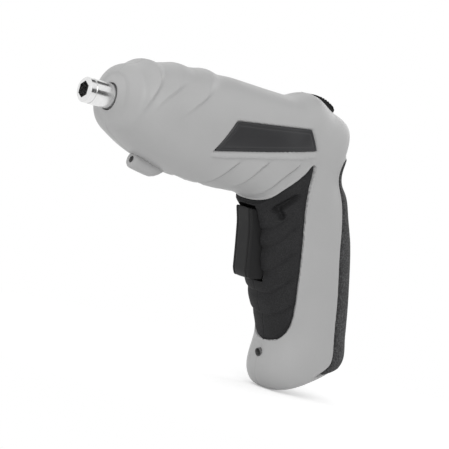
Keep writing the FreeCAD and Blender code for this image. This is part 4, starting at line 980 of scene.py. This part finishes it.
def grip_shape(side, sizes):
    """One grip pad: from the edge on the side round to the front seam, grooved and dished by its lift."""
    border = grip_border()
    along = spread(border.along[0] + 0.4, border.along[-1] - 0.4, 181, 0.3)
    share = spread(0, 1, 111, 0.25)
    edge = border.turn_at(along)[:, None]
    turn = edge + (math.pi - edge) * share
    points = skin(np.broadcast_to(along[:, None], turn.shape), turn)
    lift = grip_lift(points, turn, sizes)
    lift -= GRIP_EDGE_DROP * (1 - ease(0.0, 1.5, border.distance(points)))
    lift -= sizes.seam_depth * bell(points[..., 1], GRIP_SEAM_WIDTH)
    normal = normals(points)
    outer = points + normal * lift[..., None]
    inner = points - normal * (GRIP_BED - 0.15)
    outer[:, -1, 1] = 0
    inner[:, -1, 1] = 0
    return on_side(closed_shell(outer, inner, 2), side)


RIB_GROOVES = (
    [(6.0, -2.5), (10.0, -0.2), (12.6, 3.4), (15.2, 6.8)],
    [(8.0, -11.0), (11.4, -8.8), (14.6, -3.8), (17.4, 0.8), (21.4, 5.0)],
    [(12.0, -21.4), (15.0, -19.6), (17.6, -15.0), (20.4, -10.4), (23.6, -7.0)],
    [(15.8, -31.8), (18.4, -30.2), (20.8, -26.6), (23.6, -21.6), (26.0, -18.6)],
    [(21.6, -41.6), (23.6, -40.6), (25.8, -37.4), (28.0, -33.2), (29.6, -30.4)],
)
RIB_WIDTH_OVER, RIB_WIDTH_UNDER = 2.6, 0.7
WEDGE_ARMS = (
    [(8.0, 8.4), (11.3, 12.4), (16.4, 17.2)],
    [(8.0, 8.4), (9.8, 6.5), (12.2, 4.4)],
)
WEDGE_DEPTH, WEDGE_WIDTH = 2.8, 1.25
DEEPEST_CUT = -2.9
CHEEK_LEVELS = (-30.0, -23.0, -12.0, 6.0, 9.5, 12.0)
CHEEK_LIFTS = (0.0, 0.7, 1.6, 2.3, 1.2, 0.0)


def grip_lift(points, turn, sizes):
    """Grip relief: cheeks beside the trigger, rib grooves, and a wedge-shaped recess under the barrel."""
    front = ease(math.pi - 1.0, math.pi - 0.45, turn)
    lift = np.interp(points[..., 2] - PIVOT[1], CHEEK_LEVELS, CHEEK_LIFTS) * front
    for groove in RIB_GROOVES:
        distance, share = offset_from(smooth_path(from_pivot(groove), 90), points)
        cut = bell(distance, np.where(distance > 0, RIB_WIDTH_OVER, RIB_WIDTH_UNDER))
        lift -= sizes.rib_depth * cut * ease(0.0, 0.25, 1 - share)
    for arm in WEDGE_ARMS:
        distance, share = offset_from(smooth_path(from_pivot(arm), 60), points)
        lift -= WEDGE_DEPTH * bell(distance, WEDGE_WIDTH) * ease(0.0, 0.3, 1 - share)
    return np.maximum(lift, DEEPEST_CUT)


# How far the strap's sides dip into its bed, how much thicker its heel is, and how much its top corners rise
STRAP_DIP = 1.55
HEEL_RISE = 0.8
CORNER_RISE = 0.7


def strap_shape(sizes):
    """The back strap: from edge to edge round the back, proud of the shell, with a softened border."""
    border = strap_border()
    along = spread(border.along[0] + 0.1, border.along[-1] - 0.2, 221, 0.2)
    share = spread(-1, 1, 81, 0.3)
    # The top end stands proud over its bed's edge; the sides dip into it
    top = 1 - ease(5.0, 11.0, along - along[0])[:, None]
    edge = border.turn_at(along)[:, None] + 0.03 * top
    turn = edge * share
    points = skin(np.broadcast_to(along[:, None], turn.shape), turn)
    away = border.distance(points) + 2.0 * top
    ends = 4.0 * (along[-1] - along)[:, None]
    rise = sizes.strap_rise + HEEL_RISE * ease(16.0, 4.0, along[-1] - along)[:, None]
    rise = rise + CORNER_RISE * top * ease(0.5, 0.85, np.abs(share))
    lift = rise - (rise + STRAP_DIP) * (1 - ease(0.1, 1.7, np.minimum(away, ends)))
    normal = normals(points)
    return closed_shell(points + normal * lift[..., None], points - normal * (STRAP_BED - 0.1), 2)


# A panel's rounding, how far its face and its back lie under the skin, and the fine line inside its edge
PANEL_BOW = 0.16
PANEL_SINK, PANEL_BACK = 0.12, 1.15
PANEL_LINE, PANEL_LINE_AWAY, PANEL_LINE_WIDTH = 0.16, 1.9, 0.3


def panel_shape(side):
    """A side panel: its four corners blended across the side view, rounded, and dropped onto the skin."""
    s, t = np.meshgrid(spread(-1, 1, 121, 0.25), spread(-1, 1, 61, 0.25), indexing="ij")
    s, t = s * np.sqrt(1 - PANEL_BOW * t**6 / 2), t * np.sqrt(1 - PANEL_BOW * s**6 / 2)
    front_low, front_high, rear_high, rear_low = from_pivot(PANEL_CORNERS)
    low = front_low + (rear_low - front_low) * (s[..., None] + 1) / 2
    high = front_high + (rear_high - front_high) * (s[..., None] + 1) / 2
    along, turn = skin_place(low + (high - low) * (t[..., None] + 1) / 2)
    points = skin(along, turn)
    inside = panel_depth(points)
    line = PANEL_LINE * bell(inside - PANEL_LINE_AWAY, PANEL_LINE_WIDTH)
    lift = -PANEL_SINK - 0.7 * (1 - ease(-0.1, 0.8, inside)) - line
    # The grid runs rearward and up, so its own normals and faces look to the left
    normal = -normals(points)
    shape, faces = closed_shell(points + normal * lift[..., None], points - normal * PANEL_BACK, 2)
    return on_side((shape, [face[::-1] for face in faces]), side)


def trigger_shape():
    """The trigger: a paddle with a bent front and a rounded hub at its pin, softened at both sides."""
    corners = [
        (-1.5, 5.8), (1.2, -1.2), (3.8, -12.5), (5.9, -22.6), (7.6, -25.3), (14.8, -24.3), (16.2, -21.6),
        (9.2, 2.4), (13.4, 6.6), (12.6, 10.6), (9.0, 11.4), (6.9, 8.2), (6.4, 5.6),
    ]
    softness = [1.3, 2.2, 3.0, 1.2, 1.0, 1.0, 1.0, 1.6, 1.6, 1.4, 1.4, 1.0, 0.9]
    return rounded_bar(rounded_outline(from_pivot(corners), softness, 220), TRIGGER_HALF, 0.8, 0.55)


def rocker_shape():
    """The thumb rocker: a crowned bar with cross ridges over its middle, resting with its rear end raised."""
    half = ROCKER_LENGTH / 2
    s = np.linspace(-half, half, 121)
    crown = 4.8 - 1.0 * (s / half) ** 2 - 0.7 * ease(half - 1.6, half, s)
    ridges = 0.16 * np.sin(2 * math.pi * s / 1.6) * (1 - ease(2.6, 4.4, np.abs(s)))
    top = np.stack([s, crown + ridges], -1)
    below = np.array([(half, 0.4), (2.6, -1.6), (-2.6, -1.6), (-half, 0.4)])
    outline = np.concatenate([top, below])
    lengthwise, up = rocker_frame(ROCKER_TILT)
    side = ROCKER_PIN + outline[:, :1] * lengthwise + outline[:, 1:] * up
    return rounded_bar(side[::-1], ROCKER_HALF, 0.5)


# Operators
class Build:
    """What the operators share."""

    bl_options = {"REGISTER"}

    @property
    def sizes(self):
        return bpy.context.scene.screwdriver_sizes

    @property
    def colours(self):
        return bpy.context.scene.screwdriver_colours


SIDES = (("left", -1), ("right", 1))


class SCREWDRIVER_OT_shell(Build, bpy.types.Operator):
    """Build the two grey shell halves, their screw wells, the light's hood and the charging hole's lining"""

    bl_idname = "screwdriver.shell"
    bl_label = "Shell halves"

    def execute(self, context):
        finish = moulded_finish("shell_grey", tuple(self.colours.shell), 0.42, gloss=0.4)
        openings = [slot_cutter(), rocker_cutter(), jack_cutter(), light_cutter()]
        wells = [cross_tube(place, (SCREW_SEAT, 60.0), (SCREW_HOLE, SCREW_HOLE)) for place in screw_places()]
        for name, side in SIDES:
            cutters = openings + (wells if side > 0 else [])
            shape = shell_shape(side, self.sizes)
            add_piece(f"shell_{name}", shape, finish, "root", [f"housing_{name}"], cutters)
        for number, place in enumerate(screw_places()):
            add_piece(f"screw_well_{number}", well_shape(place), finish, "root")
        add_piece("light_hood", hood_shape(), finish, "root")
        lining = moulded_finish("lining_grey", (0.13, 0.13, 0.13), 0.5)
        add_piece("jack_cup", jack_cup(), lining, "root")
        return {"FINISHED"}


class SCREWDRIVER_OT_grips(Build, bpy.types.Operator):
    """Build the ribbed rubber pads on the front of the handle"""

    bl_idname = "screwdriver.grips"
    bl_label = "Grip pads"

    def execute(self, context):
        finish = rubber_finish("grip_rubber", tuple(self.colours.grip), 1.9, 0.35, 0.03)
        for name, side in SIDES:
            shape = grip_shape(side, self.sizes)
            add_piece(f"pad_{name}", shape, finish, "root", [f"grip_{name}"], [slot_cutter()])
        return {"FINISHED"}


class SCREWDRIVER_OT_strap(Build, bpy.types.Operator):
    """Build the pebbled strap down the back of the handle"""

    bl_idname = "screwdriver.strap"
    bl_label = "Back strap"

    def execute(self, context):
        finish = rubber_finish("strap_rubber", tuple(self.colours.strap), 2.6, 0.8, 0.12)
        add_piece("strap", strap_shape(self.sizes), finish, "root", ["back_strap"])
        return {"FINISHED"}


class SCREWDRIVER_OT_panels(Build, bpy.types.Operator):
    """Build the dark bare panels let into the barrel's sides"""

    bl_idname = "screwdriver.panels"
    bl_label = "Side panels"

    def execute(self, context):
        finish = moulded_finish("panel_dark", tuple(self.colours.panel), 0.38, 0.3, 0.012, 0.3)
        for name, side in SIDES:
            add_piece(f"panel_{name}", panel_shape(side), finish, "root", [f"label_plate_{name}"])
        return {"FINISHED"}


class SCREWDRIVER_OT_controls(Build, bpy.types.Operator):
    """Build the trigger and the thumb rocker"""

    bl_idname = "screwdriver.controls"
    bl_label = "Trigger and rocker"

    def execute(self, context):
        finish = moulded_finish("control_black", tuple(self.colours.controls), 0.4, 0.4, 0.015, 0.12)
        add_piece("trigger_paddle", trigger_shape(), finish, "trigger", ["trigger"])
        add_piece("thumb_rocker", rocker_shape(), finish, "rocker", ["direction_rocker"])
        return {"FINISHED"}


class SCREWDRIVER_OT_inside(Build, bpy.types.Operator):
    """Give every CAD node the finish of its material slot, and set the return spring"""

    bl_idname = "screwdriver.inside"
    bl_label = "Drive and inner parts"

    def execute(self, context):
        finishes = {
            "collar": metal_finish("collar_plate", (0.8, 0.8, 0.8), 0.19, (6.0, 0.4, 0.4), 0.5),
            "steel": metal_finish("steel_plain", slot_colour("steel"), 0.34),
            "magnet": moulded_finish("ferrite", slot_colour("magnet"), 0.6, 0.3, 0.03),
            "bronze": metal_finish("bronze_sintered", slot_colour("bronze"), 0.42, scale=0.25),
            "copper": metal_finish("copper_wire", slot_colour("copper"), 0.3),
            "gear_plastic": moulded_finish("gear_nylon", slot_colour("gear_plastic"), 0.5),
            "switch_plastic": moulded_finish("switch_black", slot_colour("switch_plastic"), 0.5),
            "board": board_finish("board_laminate", slot_colour("board")),
            "cell_sleeve": moulded_finish("cell_sleeve", slot_colour("cell_sleeve"), 0.3, 0.8, 0.01),
            "lens": lens_finish("light_lens", slot_colour("lens")),
        }
        spare = moulded_finish("hidden_plastic", slot_colour("shell"), 0.45)
        for part in frame["record"]["subparts"]:
            mesh = frame["nodes"][part["node"]].data
            mesh.materials.clear()
            mesh.materials.append(finishes.get(part["material_slot"], spare))
        # A return spring of the node's own shape, on a mesh of its own
        spring = bpy.data.objects.new("return_spring", frame["nodes"]["trigger_spring"].data.copy())
        bpy.context.scene.collection.objects.link(spring)
        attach(spring, "root")
        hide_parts("trigger_spring")
        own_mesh(spring)
        return {"FINISHED"}


# The photograph's camera: where it stands, its roll, its reach in pixels, and where it sees the socket's mouth
IMAGE_SIZE = 449.0
CAMERA_AZIMUTH = math.radians(-37.0)
CAMERA_HEIGHT = math.radians(1.5)
CAMERA_ROLL = math.radians(15.0)
CAMERA_FOCAL = 2140.0
CAMERA_ORIGIN = (83.5, 89.0)
CAMERA_DEPTH = 0.8985
SENSOR = 36.0
WHITE = (1.0, 1.0, 1.0, 1.0)
FLOOR_HALF, FLOOR_GAP = 2400.0, 0.1
# Lamps: place from the object's middle in metres, size and power
LAMPS = (
    ("key", (-0.6, -0.9, 0.65), 0.8, 4.6),
    ("fill", (-0.9, 0.5, 0.35), 0.7, 0.9),
    ("rear", (0.8, 0.35, 0.5), 0.6, 1.2),
)
# Dark cards that face the socket's mouth: place in metres
FLAGS = (("flag_side", (0.48, -0.63, 0.11)), ("flag_top", (0.48, 0.18, 0.61)))
FLAG_HALF, FLAG_LENGTH = 0.22, 0.5


def unit(way):
    """A direction made one long."""
    return way / np.linalg.norm(way)


def camera_place():
    """Columns right, up and back of the rolled camera, and its eye, so that the origin falls on its pixel."""
    level = math.cos(CAMERA_HEIGHT)
    back = np.array([math.sin(CAMERA_AZIMUTH) * level, -math.cos(CAMERA_AZIMUTH) * level, math.sin(CAMERA_HEIGHT)])
    right = np.array([math.cos(CAMERA_AZIMUTH), math.sin(CAMERA_AZIMUTH), 0.0])
    up = np.cross(back, right)
    cosine, sine = math.cos(CAMERA_ROLL), math.sin(CAMERA_ROLL)
    right, up = right * cosine + up * sine, up * cosine - right * sine
    half = IMAGE_SIZE / 2
    sideways = (CAMERA_ORIGIN[0] - half) / CAMERA_FOCAL * CAMERA_DEPTH
    upward = (half - CAMERA_ORIGIN[1]) / CAMERA_FOCAL * CAMERA_DEPTH
    return right, up, back, back * CAMERA_DEPTH - right * sideways - up * upward


class SCREWDRIVER_OT_stage(Build, bpy.types.Operator):
    """Set up the pale floor, the soft lights, the white surround and the photograph's camera"""

    bl_idname = "screwdriver.stage"
    bl_label = "Stage"

    def execute(self, context):
        context.scene.view_settings.view_transform = "Standard"
        self.surround(context.scene)
        self.floor()
        for lamp in LAMPS:
            self.lamp(*lamp)
        for flag in FLAGS:
            self.flag(*flag)
        self.camera(context.scene)
        return {"FINISHED"}

    def seen_directly(self, finish):
        """1 for rays that come from the camera, a mirror or a lens, 0 for those that only carry light."""
        rays = ("Is Camera Ray", "Is Glossy Ray", "Is Transmission Ray")
        camera, glossy, clear = (finish.node("ShaderNodeLightPath", output=ray) for ray in rays)
        return camera + glossy + clear > 0.5

    def surround(self, scene):
        scene.world = bpy.data.worlds.new("surround")
        scene.world.use_nodes = True
        finish = Finish("surround", scene.world.node_tree)
        light = finish.node("ShaderNodeBackground", {}, {"Color": WHITE, "Strength": 0.72})
        white = finish.node("ShaderNodeBackground", {}, {"Color": WHITE, "Strength": 1.0})
        mixed = finish.node("ShaderNodeMixShader", {}, {0: self.seen_directly(finish), 1: light, 2: white})
        finish.node("ShaderNodeOutputWorld", {}, {"Surface": mixed})

    def floor(self):
        """A flat grid just under the foot, pale and matt round the foot and white further away."""
        finish = Finish("floor_pale")
        tone = finish.blend(finish.noise(260.0), (0.82, 0.82, 0.82), (0.86, 0.86, 0.86))
        matt = finish.node("ShaderNodeBsdfDiffuse", {}, {"Color": tone})
        glow = finish.node("ShaderNodeEmission", {}, {"Color": WHITE, "Strength": 0.35})
        lifted = finish.node("ShaderNodeAddShader", {}, {0: matt, 1: glow})
        white = finish.node("ShaderNodeEmission", {}, {"Color": WHITE, "Strength": 1.0})
        spot = (on_handle(HANDLE_FOOT, HANDLE_BACK / 2)[0] * MM, 0.0, CAD_BOX[0][2])
        away = finish.node("ShaderNodeVectorMath", {"operation": "DISTANCE"}, {0: finish.place(), 1: spot}, "Value")
        share = finish.node("ShaderNodeMapRange", {}, {"Value": away, "From Min": 0.03, "From Max": 0.2})
        seen = finish.node("ShaderNodeMixShader", {}, {0: share, 1: lifted, 2: white})
        mixed = finish.node("ShaderNodeMixShader", {}, {0: self.seen_directly(finish), 1: matt, 2: seen})
        finish.node("ShaderNodeOutputMaterial", {}, {"Surface": mixed})
        middle = (0.0, 0.0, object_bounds()[0][2] / MM - FLOOR_GAP)
        first, second, _ = np.eye(3)
        floor = self.sheet("floor", middle, first, second, (FLOOR_HALF, FLOOR_HALF), 9, finish)
        floor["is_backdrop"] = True

    def flag(self, name, place):
        """A dark card that only polished metal mirrors, facing the socket's mouth."""
        finish = Finish(name)
        dark = finish.node("ShaderNodeBsdfDiffuse", {}, {"Color": (0.09, 0.09, 0.09, 1.0)})
        finish.node("ShaderNodeOutputMaterial", {}, {"Surface": dark})
        back = unit(np.array(place))
        side = unit(np.cross(back, (1.0, 0.0, 0.0)))
        halves = FLAG_HALF / MM, FLAG_LENGTH / 2 / MM
        card = self.sheet(name, np.array(place) / MM, side, np.cross(side, back), halves, 5, finish)
        card.visible_camera = card.visible_diffuse = card.visible_transmission = card.visible_shadow = False
        card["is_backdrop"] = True

    def sheet(self, name, middle, first, second, halves, count, finish):
        """A flat grid round its middle, along two directions, in millimetres."""
        s, t = np.meshgrid(*(np.linspace(-half, half, count) for half in halves), indexing="ij")
        points = (middle + s[..., None] * first + t[..., None] * second).reshape(-1, 3)
        faces = grid_faces(np.arange(count**2).reshape(count, count))
        sheet = bpy.data.objects.new(name, mesh_of(name, (points, faces)))
        sheet.data.materials.append(finish.material)
        bpy.context.scene.collection.objects.link(sheet)
        return sheet

    def lamp(self, name, place, size, power):
        """A square soft light, turned to face the object's middle."""
        light = bpy.data.lights.new(name, "AREA")
        light.size = size
        light.energy = power
        back = unit(np.array(place))
        right = unit(np.cross((0.0, 0.0, 1.0), back))
        place = np.mean(CAD_BOX, axis=0) + place
        self.stand(bpy.data.objects.new(name, light), right, np.cross(back, right), back, place)

    def stand(self, item, right, up, back, place):
        """Sets a lamp or camera at a place, looking against its back direction."""
        matrix = np.eye(4)
        matrix[:3] = np.stack([right, up, back, place], 1)
        item.matrix_world = Matrix(matrix.tolist())
        bpy.context.scene.collection.objects.link(item)

    def camera(self, scene):
        lens = bpy.data.cameras.new("photo")
        lens.sensor_width = SENSOR
        lens.lens = CAMERA_FOCAL / IMAGE_SIZE * SENSOR
        lens.clip_end = 20.0
        camera = bpy.data.objects.new("photo", lens)
        self.stand(camera, *camera_place())
        scene.camera = camera


class SCREWDRIVER_PT_looks(bpy.types.Panel):
    """Lists the sizes, the colours and the steps"""

    bl_idname = "SCREWDRIVER_PT_looks"
    bl_label = "Screwdriver looks"
    bl_space_type = "VIEW_3D"
    bl_region_type = "UI"
    bl_category = "Screwdriver"

    def draw(self, context):
        for group in (context.scene.screwdriver_sizes, context.scene.screwdriver_colours):
            box = self.layout.box()
            for name in group.__annotations__:
                box.prop(group, name)
        for step in STEPS:
            self.layout.operator(step.bl_idname)


STEPS = (
    SCREWDRIVER_OT_shell,
    SCREWDRIVER_OT_grips,
    SCREWDRIVER_OT_strap,
    SCREWDRIVER_OT_panels,
    SCREWDRIVER_OT_controls,
    SCREWDRIVER_OT_inside,
    SCREWDRIVER_OT_stage,
)
CLASSES = (ScrewdriverSizes, ScrewdriverColours, *STEPS, SCREWDRIVER_PT_looks)


def register():
    for each in CLASSES:
        bpy.utils.register_class(each)
    bpy.types.Scene.screwdriver_sizes = bpy.props.PointerProperty(type=ScrewdriverSizes)
    bpy.types.Scene.screwdriver_colours = bpy.props.PointerProperty(type=ScrewdriverColours)


def unregister():
    del bpy.types.Scene.screwdriver_colours
    del bpy.types.Scene.screwdriver_sizes
    for each in reversed(CLASSES):
        bpy.utils.unregister_class(each)


def main():
    register()
    bpy.ops.screwdriver.shell()
    bpy.ops.screwdriver.grips()
    bpy.ops.screwdriver.strap()
    bpy.ops.screwdriver.panels()
    bpy.ops.screwdriver.controls()
    bpy.ops.screwdriver.inside()
    bpy.ops.screwdriver.stage()


if __name__ == "__main__":
    main()
